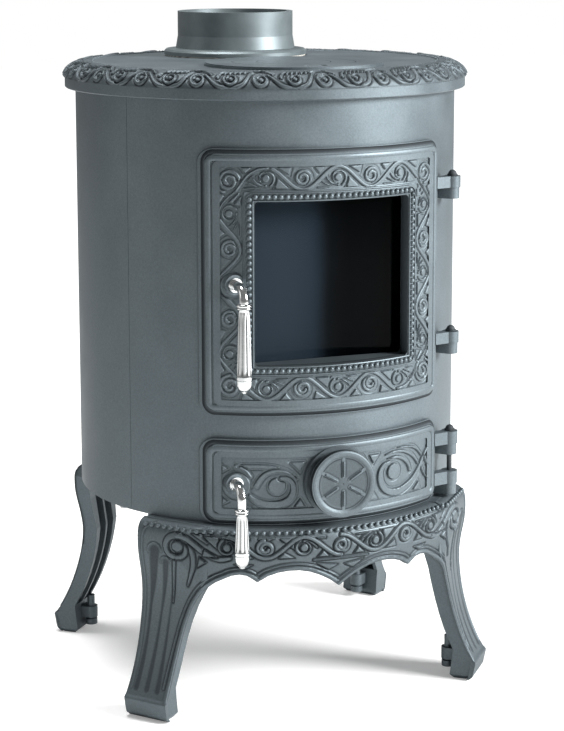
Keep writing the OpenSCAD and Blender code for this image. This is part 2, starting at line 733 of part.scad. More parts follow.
// Sunk field of a door inside its stepped border
module door_field(z0, h) let (in = edge_w + band_w + step_w)
    bent_plate(panel_r, step_r + bit, door_w - 2 * in, z0 + in, z0 + h - in, 2);

module spindle_boss(z, back) intersection() {
    translate([-latch_x, 0, z]) union() {
        bar_y(boss_out_r, boss_y, -body_r * 0.86);
        bar_y(boss_r, boss_y, back);
    }
    disc(body_r + 20, z - 20, z + 20);
}

module fire_door() color(iron) difference() {
    union() {
        difference() {
            door_blank(fire_z, fire_h);
            difference() {
                door_field(fire_z, fire_h);
                bent_plate(door_back, step_r + 1, window_w + 2 * window_lip, fire_mid - window_w / 2 - window_lip,
                    fire_mid + window_w / 2 + window_lip, 2);
            }
        }
        intersection() {
            disc(door_back + 1, fire_z, fire_z + fire_h);
            union() {
                forward(-body_r - 5, frame_back) panel_outline(window_w + 2 * tunnel_wall,
                    fire_mid - window_w / 2 - tunnel_wall, fire_mid + window_w / 2 + tunnel_wall, window_corner);
                forward(frame_back - 5, frame_back) panel_outline(glass_frame, fire_mid - glass_frame / 2,
                    fire_mid + glass_frame / 2, window_corner);
            }
        }
        spindle_boss(fire_mid, keeper_y - 2);
        for (z = fire_lug_z) hinge_lug(z, lug_h);
    }
    forward(-body_r - 20, frame_back + bit) panel_outline(window_w, fire_mid - window_w / 2,
        fire_mid + window_w / 2, window_corner);
    translate([-latch_x, 0, fire_mid]) bar_y(rod_r + run, boss_y - bit, keeper_y);
    for (z = fire_lug_z) translate([hinge_x, hinge_y, 0]) disc(pin_r + run, z - bit, z + lug_h + bit);
    clip_places() bar_y(2, frame_back - 3.5, frame_back + bit);
}

// Square plate in the front view round the window's middle
module glass_plate(w, y0, y1) forward(y0, y1) panel_outline(w, fire_mid - w / 2, fire_mid + w / 2, 3);

module window_glass() color(glass_tint) glass_plate(glass_w, glass_front, glass_back);

module window_gasket() color(rope_grey) difference() {
    glass_plate(glass_w, frame_back, glass_front);
    glass_plate(window_w + 2, frame_back - bit, glass_front + bit);
}

module clip_places() for (x = [-1, 1] * (glass_w / 2 + 7), z = [-1, 1] * clip_z)
    translate([x, 0, fire_mid + z]) children();

module glass_clips() color(steel) for (side = [0, 1]) mirror([side, 0, 0]) for (z = [-1, 1] * clip_z)
    difference() {
        translate([glass_w / 2 - 6, 0, fire_mid + z - clip_w / 2]) union() {
            translate([0, glass_back, 0]) cube([18, clip_t, clip_w]);
            translate([7, frame_back, 0]) cube([11, glass_back - frame_back + eps, clip_w]);
        }
        translate([glass_w / 2 + 7, 0, fire_mid + z]) bar_y(2.2, frame_back - bit, glass_back + clip_t + bit);
    }

module glass_screws() color(steel) clip_places() {
    bar_y(2, frame_back - 3, glass_back + clip_t + eps);
    bar_y(4, glass_back + clip_t, glass_back + clip_t + 3);
}

// Sealing rope pressed square in the groove of a door
module door_rope(z0, h) let (in = rope_inset - rope_r)
    bent_frame(body_r + clear, door_back + rope_groove, door_w - 2 * in, z0 + in, z0 + h - in,
        door_corner - 4, 2 * rope_r);

module fire_door_rope() color(rope_grey) door_rope(fire_z, fire_h);
module ash_door_rope() color(rope_grey) door_rope(ash_z, ash_h);

module ash_door() color(iron) difference() {
    union() {
        difference() {
            door_blank(ash_z, ash_h);
            door_field(ash_z, ash_h);
        }
        difference() {
            translate([0, 0, ash_mid]) bar_y(wheel_r + 2, seat_front, web_front);
            disc(door_back, ash_z, ash_z + ash_h);
            rope_channel(ash_z, ash_h);
        }
        translate([0, 0, ash_mid]) bar_y(cup_r, seat_front, web_front + web_t);
        spindle_boss(ash_mid, keeper_y - 2);
        for (z = ash_lug_z) hinge_lug(z, ash_lug_h);
    }
    translate([0, 0, ash_mid]) {
        difference() {
            bar_y(wheel_r + 2 - seat_w, seat_front - bit, web_front);
            bar_y(hub_r, web_front - 1, web_front + bit);
        }
        bar_y(stud_r, seat_front, 0);
        for (i = [0 : 5]) rotate([0, i * 60, 0]) translate([17, 0, 0]) bar_y(port_r, seat_front, 0);
    }
    translate([-latch_x, 0, ash_mid]) bar_y(rod_r + run, boss_y - bit, keeper_y);
    for (z = ash_lug_z) translate([hinge_x, hinge_y, 0]) disc(pin_r + run, z - bit, z + ash_lug_h + bit);
}

// ---------- handles ----------

// Bent rod: straight out of the door, round the bend and down into the grip
module spindle(z, reach, tail) color(plated) translate([-latch_x, 0, z]) {
    bar_y(rod_r, boss_y - reach + bend_r, keeper_y - 2);
    bar_y(m8_r, keeper_y - 2 - eps, keeper_y + tongue_hub_t + nut_h);
    translate([0, boss_y - reach + bend_r, -bend_r]) rotate([90, 0, 90]) rotate([0, 0, 90])
        rotate_extrude(angle = 90) translate([bend_r, 0]) circle(r = rod_r);
    translate([0, boss_y - reach, -tail]) cylinder(r = rod_r, h = tail - bend_r + eps);
    translate([0, boss_y - reach, -tail - end_nut_h - 1]) cylinder(r = 2, h = end_nut_h + 1 + eps);
}

module ferrule(z) color(plated) translate([-latch_x, 0, z]) difference() {
    union() {
        bar_y(ferrule_r, boss_y - clear - ferrule_t * 0.6, boss_y - clear);
        bar_y(ferrule_r - 1.2, boss_y - clear - ferrule_t, boss_y - clear - ferrule_t * 0.6 + eps);
    }
    bar_y(rod_r, boss_y - clear - ferrule_t - bit, boss_y + bit);
}

// Side view of a grip from its top at 0 down to its end
function grip_profile(l) = [[rod_r, 0], [collar_r - 0.6, 0], [collar_r, -0.6], [collar_r, -2.6],
    [collar_r - 0.9, -3.3], [collar_r, -4], [collar_r, -collar_h + 1], [collar_r - 0.6, -collar_h],
    [grip_top_r, -collar_h], [grip_low_r, -l + 15], [grip_low_r - 0.5, -l + 14.2], [grip_low_r, -l + 13.4],
    [grip_low_r, -l + 12], [grip_low_r - 0.5, -l + 11.2], [grip_low_r, -l + 10.4],
    [grip_low_r + 0.1, -l + grip_end_h], [grip_low_r - 2, -l + 1.5], [grip_low_r - 3.5, -l], [rod_r - 2, -l],
    [rod_r - 2, -l + end_nut_h], [rod_r, -l + end_nut_h]];

module grip(z, reach, l, drop) color(plated) translate([-latch_x, boss_y - reach, z - drop]) difference() {
    rotate_extrude() polygon(grip_profile(l));
    for (i = [0 : flutes - 1]) rotate([0, 0, i * 360 / flutes]) translate([grip_low_r + 1.2, 0, 0])
        rotate([0, -atan((grip_low_r - grip_top_r) / (l - collar_h - 15)), 0])
            translate([0, 0, -l + 17]) cylinder(r = 1.6, h = l - collar_h - 19);
}

module grip_nut(z, reach, l, drop) color(plated) translate([-latch_x, boss_y - reach, z - drop - l])
    difference() {
        translate([0, 0, -1.8]) cylinder(r1 = 2.6, r2 = 3.8, h = 1.8);
        translate([0, 0, -1]) cylinder(r = 2, h = 2);
    }

// Latch tongue: points to the keeper's side of the opening
module tongue(z) color(steel) translate([-latch_x, 0, z]) difference() {
    union() {
        bar_y(boss_r, keeper_y - 2 + clear, keeper_y - 2 + clear + tongue_hub_t);
        forward(keeper_y + clear, keeper_y + clear + tongue_t)
            translate([-tongue_l, -tongue_half]) square([tongue_l, 2 * tongue_half]);
    }
    bar_y(m8_r, keeper_y - 3, keeper_y + tongue_hub_t);
}

module latch_nut(z) color(steel) translate([-latch_x, keeper_y - 2 + clear + tongue_hub_t + nut_h, z])
    rotate([90, 0, 0]) hex_nut(m8_r, nut_h);

fire_drop = bend_r + 1;
ash_drop = bend_r + 7;

module fire_spindle() spindle(fire_mid, fire_reach, fire_drop + fire_grip_l - end_nut_h);
module fire_ferrule() ferrule(fire_mid);
module fire_grip() grip(fire_mid, fire_reach, fire_grip_l, fire_drop);
module fire_grip_nut() grip_nut(fire_mid, fire_reach, fire_grip_l, fire_drop);
module fire_tongue() tongue(fire_mid);
module fire_latch_nut() latch_nut(fire_mid);
module ash_spindle() spindle(ash_mid, ash_reach, ash_drop + ash_grip_l - end_nut_h);
module ash_ferrule() ferrule(ash_mid);
module ash_grip() grip(ash_mid, ash_reach, ash_grip_l, ash_drop);
module ash_grip_nut() grip_nut(ash_mid, ash_reach, ash_grip_l, ash_drop);
module ash_tongue() tongue(ash_mid);
module ash_latch_nut() latch_nut(ash_mid);

// ---------- air wheel ----------

module air_stud() color(steel) translate([0, 0, ash_mid]) bar_y(stud_r, seat_front - stud_out, web_front + web_t + 9);

module air_stud_nut() color(steel) translate([0, web_front + web_t + 8, ash_mid])
    rotate([90, 0, 0]) hex_nut(stud_r, 8);

module wheel_rib(a) rotate([0, a, 0]) {
    translate([7, wheel_front + wheel_dish - 1.6, -1.6]) cube([17, 2, 3.2]);
    for (x = [7, 24]) translate([x, 0, 0]) bar_y(1.6, wheel_front + wheel_dish - 1.6, wheel_front + wheel_dish + 0.4);
}

module air_wheel() color(iron) translate([0, 0, ash_mid]) difference() {
    union() {
        difference() {
            bar_y(wheel_r, wheel_front, wheel_back);
            bar_y(wheel_r - wheel_rim, wheel_front - bit, wheel_front + wheel_dish);
        }
        for (i = [0 : wheel_ribs - 1]) wheel_rib(i * 360 / wheel_ribs - 90);
        bar_y(hub_r, wheel_back - eps, hub_back);
    }
    bar_y(stud_r + run, wheel_front + wheel_dish + 1.5, hub_back + bit);
}

module air_washer() color(steel) translate([0, 0, ash_mid]) difference() {
    bar_y(hub_r - 0.5, hub_back + clear, hub_back + clear + washer_t);
    bar_y(stud_r + run, hub_back, hub_back + clear + washer_t + bit);
}

// ---------- hob lid ----------

module hob_lid() color(iron) translate([0, -lid_front, 0]) difference() {
    union() {
        disc(lid_r - 1, hob_z + lid_proud - 1 - eps, hob_z + lid_proud);
        disc(lid_r, hob_z - lid_seat_t + clear, hob_z + lid_proud - 1);
        disc(lid_hole_r - 1, hob_z - hob_t - 1, hob_z - lid_seat_t + clear + eps);
    }
    for (r = [36, 60]) ring(r - 0.4, r + 0.4, hob_z + lid_proud - 0.8, hob_z + lid_proud + bit);
    // Recess and undercut for the lifting hook
    translate([0, -60, 0]) {
        for (x = [-7, 7]) translate([x, 0, 0]) disc(5, hob_z + lid_proud - 4, hob_z + lid_proud + bit);
        translate([-7, -5, hob_z + lid_proud - 4]) cube([14, 10, 4 + bit]);
    }
}

base_plate();
front_shell();
left_shell();
right_shell();
top_plate();
flue_collar();
flue_gasket();
flue_bolts();
tie_rods();
tie_rod_nuts();
front_leg_frame();
rear_left_leg();
rear_right_leg();
leg_bolts();
leg_nuts();
levelling_screws();
hearth_plate();
grate();
baffle_plate();
ash_pan();
ash_pan_handle();
upper_hinge_pin();
lower_hinge_pin();
ash_hinge_pin();
fire_door();
window_glass();
window_gasket();
glass_clips();
glass_screws();
fire_door_rope();
fire_spindle();
fire_ferrule();
fire_grip();
fire_grip_nut();
fire_tongue();
fire_latch_nut();
ash_door();
ash_door_rope();
air_stud();
air_stud_nut();
ash_spindle();
ash_ferrule();
ash_grip();
ash_grip_nut();
ash_tongue();
ash_latch_nut();
air_wheel();
air_washer();
hob_lid();
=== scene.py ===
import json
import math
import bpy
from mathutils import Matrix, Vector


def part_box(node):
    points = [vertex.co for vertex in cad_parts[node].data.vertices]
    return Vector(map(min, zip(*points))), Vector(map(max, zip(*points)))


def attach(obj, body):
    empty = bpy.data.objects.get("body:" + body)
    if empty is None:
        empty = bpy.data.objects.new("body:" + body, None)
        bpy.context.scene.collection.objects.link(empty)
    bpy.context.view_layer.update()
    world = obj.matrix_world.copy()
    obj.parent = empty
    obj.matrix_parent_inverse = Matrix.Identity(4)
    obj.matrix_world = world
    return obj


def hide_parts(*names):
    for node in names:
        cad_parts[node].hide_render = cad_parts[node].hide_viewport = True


bl_info = {
    "name": "Round Cast Iron Stove",
    "version": (1, 0, 0),
    "blender": (4, 5, 0),
    "location": "View3D > Sidebar > Stove",
    "description": "Dresses the packed stove with its cast ornament, finishes, floor, light and camera",
    "category": "Object",
}

import bmesh
import bpy
import numpy as np
from mathutils import Matrix, Vector

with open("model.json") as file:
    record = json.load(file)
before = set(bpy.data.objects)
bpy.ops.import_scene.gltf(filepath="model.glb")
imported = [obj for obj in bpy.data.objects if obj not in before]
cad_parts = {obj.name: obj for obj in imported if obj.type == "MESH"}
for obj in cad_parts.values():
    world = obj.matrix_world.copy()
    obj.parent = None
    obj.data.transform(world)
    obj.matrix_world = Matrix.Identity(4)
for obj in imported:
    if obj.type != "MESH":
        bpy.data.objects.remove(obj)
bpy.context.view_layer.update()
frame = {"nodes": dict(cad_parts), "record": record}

# Lengths below are in millimetres, heights from the floor, radii from the stove's axis
MM = 0.001
DOOR_R = 198.0      # radius on which the doors' ornament is laid out, so s = angle * DOOR_R
KNEE_R = 205.0      # the same for the apron and the legs
RIM_R = 195.0       # the same for the rim
FIRE_MID, FIRE_HALF = 423.5, 126    # middle height and half height of the fire door
ASH_MID, ASH_HALF = 233.8, 41       # the same for the ash door; the air wheel is in its middle
WINDOW_HALF = 77.5
DOOR_S = DOOR_R * math.asin(122 / DOOR_R)               # half width of both doors, along the surface
WINDOW_S = DOOR_R * math.asin(WINDOW_HALF / DOOR_R)     # half width of the window
PANEL_IN = 14.2     # width of the mouldings outside the scrolls
SOLE, TOE_TOP, CASTING_TOP = 1.2, 20.5, 191.4
SHEET_OUT, SHEET_BACK = 1.75, 3.8   # the legs' sheets: out from the casting's face, and thickness


# ---------- settings ----------

class StoveDoorSettings(bpy.types.PropertyGroup):
    field_radius: bpy.props.FloatProperty(
        name="Field radius", description="Radius of the flat field between the scrolls, from the stove's axis",
        default=0.1972, unit="LENGTH")
    strap_rise: bpy.props.FloatProperty(
        name="Strap rise", description="Height of the scrolls above the field", default=0.0015, unit="LENGTH")
    moat_depth: bpy.props.FloatProperty(
        name="Moat depth", description="Depth of the line cut round each scroll", default=0.0011, unit="LENGTH")
    bead_pitch: bpy.props.FloatProperty(
        name="Bead pitch", description="Spacing of the beads round the window", default=0.0059, unit="LENGTH")
    bead_radius: bpy.props.FloatProperty(
        name="Bead radius", description="Radius of the beads round the window", default=0.0026, unit="LENGTH")


class StoveBodySettings(bpy.types.PropertyGroup):
    rim_repeats: bpy.props.IntProperty(
        name="Rim repeats", description="Number of times the scroll runs round the rim", default=21, min=12, max=36)
    rim_rise: bpy.props.FloatProperty(
        name="Rim rise", description="Height of the scrolls on the rim", default=0.0016, unit="LENGTH")
    rim_beads: bpy.props.IntProperty(
        name="Rim beads", description="Number of fine beads round the hob's edge", default=300, min=60, max=480)
    apron_beads: bpy.props.IntProperty(
        name="Apron beads", description="Number of beads along the apron's top edge", default=55, min=20, max=90)
    apron_bead_radius: bpy.props.FloatProperty(
        name="Apron bead radius", description="Radius of the apron's beads", default=0.0024, unit="LENGTH")


class StoveFinishSettings(bpy.types.PropertyGroup):
    iron: bpy.props.StringProperty(
        name="Iron", description="Colour of the blackened castings, as sRGB hex", default="#5f696e")
    # Painted shade: the colour that the castings' lines and corners are darkened towards
    iron_hollow: bpy.props.StringProperty(
        name="Iron hollows", description="Colour in the castings' lines and corners, as sRGB hex", default="#1c2226")
    nickel: bpy.props.StringProperty(
        name="Nickel", description="Colour of the plated handles, as sRGB hex", default="#e2e4e4")
    floor: bpy.props.StringProperty(
        name="Floor", description="Colour of the studio floor, as sRGB hex", default="#f4f4f3")


# ---------- small tools ----------

def to_linear(hex_colour):
    """Turns an sRGB hex value into the linear RGBA that shaders use"""
    values = [int(hex_colour[i:i + 2], 16) / 255 for i in (1, 3, 5)]
    return tuple(v / 12.92 if v <= 0.04045 else ((v + 0.055) / 1.055) ** 2.4 for v in values) + (1.0,)


def fill(tree, node, inputs):
    """Gives a node's inputs, by name or number, a value or a link from a socket"""
    for name, value in inputs.items():
        if isinstance(value, bpy.types.NodeSocket):
            tree.links.new(value, node.inputs[name])
        else:
            node.inputs[name].default_value = value


def add(tree, kind, inputs=None, **settings):
    """Adds a node with its settings and its inputs"""
    node = tree.nodes.new(kind)
    for name, value in settings.items():
        setattr(node, name, value)
    fill(tree, node, inputs or {})
    return node


def ease(x):
    """Smooth step from 0 to 1"""
    x = np.clip(x, 0, 1)
    return x * x * (3 - 2 * x)


def curve_through(points, count):
    """Evenly spaced points on a smooth curve through the given ones"""
    p = np.asarray(points, float)
    p = np.vstack([2 * p[0] - p[1], p, 2 * p[-1] - p[-2]])
    out = []
    for i in range(1, len(p) - 2):
        t = np.linspace(0, 1, 12, endpoint=False)[:, None]
        a, b, c, d = p[i - 1], p[i], p[i + 1], p[i + 2]
        out.append(0.5 * (2 * b + (c - a) * t + (2 * a - 5 * b + 4 * c - d) * t ** 2
                          + (3 * b - a - 3 * c + d) * t ** 3))
    line = np.vstack(out + [p[-2:-1]])
    along = np.concatenate([[0], np.cumsum(np.linalg.norm(np.diff(line, axis=0), axis=1))])
    at = np.linspace(0, along[-1], count)
    return np.stack([np.interp(at, along, line[:, k]) for k in range(line.shape[1])], 1)


def arc(centre, r0, r1, start, sweep, count):
    """A curl: an arc in degrees whose radius runs from r0 to r1"""
    t = np.linspace(0, 1, count)
    a = np.radians(start + sweep * t)
    r = r0 + (r1 - r0) * t
    return np.stack([centre[0] + r * np.cos(a), centre[1] + r * np.sin(a)], 1)


def bent(s, z, r, base=DOOR_R):
    """Puts points laid out flat as (s, z) on the cylinder of radius r; with base 1, s is an angle"""
    a = np.asarray(s) / base
    return np.stack([r * np.sin(a), -r * np.cos(a), z], -1)


def grid_faces(rows, columns, close_rows=False, close_columns=False, start=0):
    """Quads between the points of a grid that is stored row by row"""
    i = np.arange(rows if close_rows else rows - 1)[:, None]
    j = np.arange(columns if close_columns else columns - 1)[None, :]
    i2, j2 = (i + 1) % rows, (j + 1) % columns
    return np.stack([i * columns + j, i * columns + j2, i2 * columns + j2, i2 * columns + j],
                    -1).reshape(-1, 4) + start


def grid_edge(shape):
    """Numbers of the points round the edge of a grid, in order"""
    index = np.arange(shape[0] * shape[1]).reshape(shape)
    return np.concatenate([index[0], index[1:, -1], index[-1, -2::-1], index[-2:0:-1, 0]])


def wall_faces(ring, other):
    """Quads between two closed rings of points"""
    return np.stack([ring, np.roll(ring, -1), np.roll(other, -1), other], 1).tolist()


def mesh_from(name, points, faces, hollow=None, sharp=35):
    """Makes a mesh in metres from points in millimetres, faces outwards, smooth but for its sharp edges"""
    mesh = bpy.data.meshes.new(name)
    mesh.from_pydata((np.asarray(points, float) * MM).tolist(), [], faces)
    # The painted shade of each point, which the finishes read
    if hollow is not None:
        mesh.attributes.new("hollow", "FLOAT", "POINT").data.foreach_set("value", np.asarray(hollow, np.float32))
    work = bmesh.new()
    work.from_mesh(mesh)
    bmesh.ops.recalc_face_normals(work, faces=work.faces)
    work.to_mesh(mesh)
    work.free()
    mesh.shade_smooth()
    mesh.set_sharp_from_angle(angle=math.radians(sharp))
    return mesh


def piece(name, mesh, body, slot, *nodes):
    """Puts a finished mesh in the scene: its material, the body it rides on and the nodes it stands for"""
    obj = bpy.data.objects.new(name, mesh)
    bpy.context.scene.collection.objects.link(obj)
    mesh.materials.clear()
    mesh.materials.append(FINISH[slot])
    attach(obj, body)
    if nodes:
        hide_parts(*nodes)


def cast_piece(name, body, points, faces, hollow, sharp=60):
    """A piece in the iron of the casting under it"""
    piece(name, mesh_from(name, points, faces, hollow, sharp), body, "cast_iron")


def cast_sheet(name, body, grid, hollow, sharp=60):
    """A piece whose grid closes on itself both ways"""
    faces = grid_faces(*grid.shape[:2], True, True).tolist()
    cast_piece(name, body, grid.reshape(-1, 3), faces, hollow.ravel(), sharp)


# ---------- relief ----------

class Relief:
    """Height of cast ornament over a set of points (u, v) in millimetres, with lines cut round each form"""
    LINE_AT, LINE_WIDE, REACH = 0.45, 0.75, 2.5     # the cut line's middle, its width and how far it is felt
    BEVEL = 0.9     # width of the slope at a form's edge

    def __init__(self, u, v, rise, moat):
        self.u, self.v = np.ravel(u).astype(float), np.ravel(v).astype(float)
        self.height = np.zeros(self.u.shape)
        self.rise, self.moat = rise, moat

    def lay(self, where, d, rise=None, moat=None, bevel=BEVEL):
        """Raises the inside of a form whose signed distance is d and cuts a line round it"""
        rise = self.rise if rise is None else rise
        moat = self.moat if moat is None else moat
        h = self.height[where]
        line = np.exp(-((d - self.LINE_AT) / self.LINE_WIDE) ** 2)
        outside = h * (1 - line) - moat * line
        foot = -moat * math.exp(-(self.LINE_AT / self.LINE_WIDE) ** 2)
        inside = foot + (rise - foot) * ease(-d / bevel)
        self.height[where] = np.where(d < 0, inside, np.minimum(outside, np.maximum(h, outside)))

    def near(self, points, margin):
        """Numbers of the points that a form can reach"""
        low, high = points.min(0) - margin, points.max(0) + margin
        return np.nonzero((self.u > low[0]) & (self.u < high[0]) & (self.v > low[1]) & (self.v < high[1]))[0]

    def strap(self, points, half, rise=None, moat=None, bevel=BEVEL):
        """A strap along a line, its half width given at each end or at each point"""
        p = np.asarray(points, float)
        w = np.interp(np.linspace(0, 1, len(p)), np.linspace(0, 1, np.size(half)), np.atleast_1d(half))
        at = self.near(p, w.max() + self.REACH)
        if not len(at):
            return
        x, y = self.u[at], self.v[at]
        d = np.full(len(at), 1e9)
        for i in range(len(p) - 1):
            ex, ey = p[i + 1] - p[i]
            t = np.clip(((x - p[i, 0]) * ex + (y - p[i, 1]) * ey) / (ex * ex + ey * ey + 1e-12), 0, 1)
            d = np.minimum(d, np.hypot(x - p[i, 0] - t * ex, y - p[i, 1] - t * ey) - w[i] - t * (w[i + 1] - w[i]))
        self.lay(at, d, rise, moat, bevel)

    def disc(self, centre, r, rise=None):
        at = self.near(np.array([centre], float), r + self.REACH)
        if len(at):
            self.lay(at, np.hypot(self.u[at] - centre[0], self.v[at] - centre[1]) - r, rise)

    def patch(self, corners):
        """A flat patch with straight sides, such as the small triangles between the scrolls"""
        p = np.asarray(corners, float)
        at = self.near(p, self.REACH)
        if not len(at):
            return
        x, y = self.u[at], self.v[at]
        d, inside = np.full(len(at), 1e9), np.zeros(len(at), bool)
        for a, b in zip(np.roll(p, 1, 0), p):
            ex, ey = b - a
            t = np.clip(((x - a[0]) * ex + (y - a[1]) * ey) / (ex * ex + ey * ey), 0, 1)
            d = np.minimum(d, np.hypot(x - a[0] - t * ex, y - a[1] - t * ey))
            inside ^= ((a[1] > y) != (b[1] > y)) & (x < (b[0] - a[0]) * (y - a[1]) / (b[1] - a[1] + 1e-12) + a[0])
        self.lay(at, np.where(inside, -d, d))

    def hollow(self):
        """How much painted shade a point takes: 0 on the open surface, 1 at the bottom of the lines"""
        return ease((0.2 * self.moat - self.height) / (1.55 * self.moat))


# ---------- finishes ----------

FINISH = {}


def start_material(name):
    mat = bpy.data.materials.new(name)
    mat.use_nodes = True
    tree = mat.node_tree
    tree.nodes.clear()
    shader = add(tree, "ShaderNodeBsdfPrincipled")
    add(tree, "ShaderNodeOutputMaterial", {"Surface": shader.outputs["BSDF"]})
    return mat, tree, shader, add(tree, "ShaderNodeTexCoord").outputs["Object"]


def ramp(tree, value, stops):
    """A colour ramp with stops of (position, sRGB hex)"""
    node = add(tree, "ShaderNodeValToRGB", {"Fac": value})
    while len(node.color_ramp.elements) < len(stops):
        node.color_ramp.elements.new(0.5)
    for element, (position, colour) in zip(node.color_ramp.elements, stops):
        element.position = position
        element.color = to_linear(colour)
    return node.outputs["Color"]


def noise(tree, place, scale, detail):
    return add(tree, "ShaderNodeTexNoise", {"Vector": place, "Scale": scale, "Detail": detail}).outputs["Fac"]


def spread(tree, value, low, high, start=0.0, end=1.0, **settings):
    """Takes values from start..end to low..high"""
    return add(tree, "ShaderNodeMapRange", {"Value": value, "From Min": start, "From Max": end,
                                            "To Min": low, "To Max": high}, **settings).outputs[0]


def blend(tree, share, first, second, **settings):
    return add(tree, "ShaderNodeMix", {0: share, 6: first, 7: second}, data_type="RGBA", **settings).outputs[2]


def bump(tree, height, strength, distance):
    return add(tree, "ShaderNodeBump", {"Strength": strength, "Distance": distance, "Height": height}).outputs[0]


def calculate(tree, operation, *values):
    return add(tree, "ShaderNodeMath", dict(enumerate(values)), operation=operation).outputs[0]


def hollows(tree):
    """The painted-shade attribute, 1 in the castings' lines and corners"""
    return add(tree, "ShaderNodeAttribute", attribute_name="hollow").outputs["Fac"]


def make_graphite_iron(look):
    # Sand-cast grey iron rubbed with graphite stove polish: a soft metallic grey with a faint green-blue
    # cast, cloudy where the polish lies thicker, dull in the lines, which painted shade darkens, with the grain of the
    # sand.
    mat, tree, shader, place = start_material("cast_iron_graphite_polish")
    cloud, grain, hollow = noise(tree, place, 22.0, 4.0), noise(tree, place, 620.0, 3.0), hollows(tree)
    pits = add(tree, "ShaderNodeTexVoronoi", {"Vector": place, "Scale": 300.0}).outputs["Distance"]
    tone = ramp(tree, cloud, [(0.3, "#5b656a"), (0.5, look.iron), (0.72, "#646e73")])
    # Painted shade: the castings' lines and corners are blended towards a darker colour
    dark = blend(tree, hollow, tone, to_linear(look.iron_hollow))
    speck = spread(tree, grain, 0.86, 1.1, 0.3, 0.7)
    grey = add(tree, "ShaderNodeCombineColor", {0: speck, 1: speck, 2: speck}).outputs[0]
    worked = blend(tree, 1.0, dark, grey, blend_type="MULTIPLY")
    # Inside the shells the iron is unpolished, and painted shade makes it near black, for the dark inside the closed
    # firebox
    across, back, up = add(tree, "ShaderNodeSeparateXYZ", {0: place}).outputs
    flat = add(tree, "ShaderNodeCombineXYZ", {0: across, 1: back}).outputs[0]
    reach = add(tree, "ShaderNodeVectorMath", {0: flat}, operation="LENGTH").outputs["Value"]
    painted_inside_shade = 1.0
    for value, test, limit in ((reach, "LESS_THAN", 0.1878), (up, "LESS_THAN", 0.6),
                               (back, "GREATER_THAN", -0.166), (up, "GREATER_THAN", 0.193)):
        painted_inside_shade = calculate(tree, "MULTIPLY", painted_inside_shade, calculate(tree, test, value, limit))
    rough = spread(tree, cloud, 0.44, 0.56, 0.3, 0.7)
    fill(tree, shader, {"Base Color": blend(tree, painted_inside_shade, worked, to_linear("#080a0c")),
                        "Roughness": calculate(tree, "MULTIPLY_ADD", hollow, 0.25, rough), "Metallic": 0.6,
                        "Normal": bump(tree, calculate(tree, "MULTIPLY_ADD", pits, -0.5, grain), 0.16, 0.0004)})
    return mat


def make_bare_iron():
    # Grey iron inside the fire: no polish, a dry brown-black heat scale with ash dust on it.
    mat, tree, shader, place = start_material("cast_iron_heat_scale")
    tone = ramp(tree, noise(tree, place, 35.0, 6.0), [(0.3, "#24282b"), (0.55, "#343a3e"), (0.75, "#4a5154")])
    fill(tree, shader, {"Base Color": tone, "Metallic": 0.25, "Roughness": 0.72,
                        "Normal": bump(tree, noise(tree, place, 500.0, 2.0), 0.3, 0.0005)})
    return mat


def make_nickel(look):
    # Steel plated with bright nickel and buffed: a warm mirror with fine hair lines from the mop.
    mat, tree, shader, place = start_material("nickel_plate_buffed")
    hair = add(tree, "ShaderNodeMapping", {"Vector": place, "Scale": (1.0, 1.0, 14.0)}).outputs[0]
    lines = noise(tree, hair, 160.0, 2.0)
    plate = ramp(tree, lines, [(0.2, "#c9cccd"), (0.6, look.nickel)])
    # Painted shade: the grips' flutes are blended towards a dark grey
    fill(tree, shader, {"Base Color": blend(tree, hollows(tree), plate, to_linear("#3f4446")), "Metallic": 1.0,
                        "Roughness": spread(tree, lines, 0.08, 0.2), "Normal": bump(tree, lines, 0.05, 0.0001)})
    return mat


def make_plain_metal(name, low, high, metallic, rough_low, rough_high, scale, depth):
    mat, tree, shader, place = start_material(name)
    cloud = noise(tree, place, scale, 4.0)
    fill(tree, shader, {"Base Color": ramp(tree, cloud, [(0.3, low), (0.7, high)]), "Metallic": metallic,
                        "Roughness": spread(tree, cloud, rough_low, rough_high),
                        "Normal": bump(tree, cloud, depth, 0.0003)})
    return mat


def make_stove_glass():
    # Glass ceramic behind the door: polished flat, nearly opaque and near black, which paints the shade of the closed
    # firebox behind it.
    mat, tree, shader, place = start_material("glass_ceramic_painted_sheen_and_shade")
    pane_noise = noise(tree, place, 9.0, 3.0)
    # A painted sheen makes it paler blue-grey on the latch side, and painted shade makes it blackest towards the
    # hinges
    across = add(tree, "ShaderNodeSeparateXYZ", {0: place}).outputs[0]
    sheen_to_shade = spread(tree, calculate(tree, "MULTIPLY_ADD", pane_noise, 0.02, across), 0.0, 1.0, -0.03, 0.036,
                     interpolation_type="SMOOTHSTEP")
    tone = ramp(tree, sheen_to_shade, [(0.0, "#222b33"), (0.4, "#1b242c"), (0.75, "#05080b"), (1.0, "#000102")])
    fill(tree, shader, {"Base Color": tone, "Roughness": spread(tree, pane_noise, 0.04, 0.14, 0.3, 0.7),
                        "Alpha": spread(tree, sheen_to_shade, 0.9, 0.94), "IOR": 1.5, "Specular IOR Level": 0.03})
    return mat


def make_fibre():
    # Braided glass-fibre rope and gasket tape: dull, pale grey, with the braid's crossing strands.
    mat, tree, shader, place = start_material("glass_fibre_braid")
    braid = add(tree, "ShaderNodeTexWave", {"Vector": place, "Scale": 110.0, "Distortion": 1.5},
                bands_direction="DIAGONAL").outputs["Fac"]
    fill(tree, shader, {"Base Color": ramp(tree, braid, [(0.2, "#8f8e88"), (0.8, "#c2c0b8")]), "Roughness": 0.95,
                        "Normal": bump(tree, braid, 0.5, 0.0004)})
    return mat


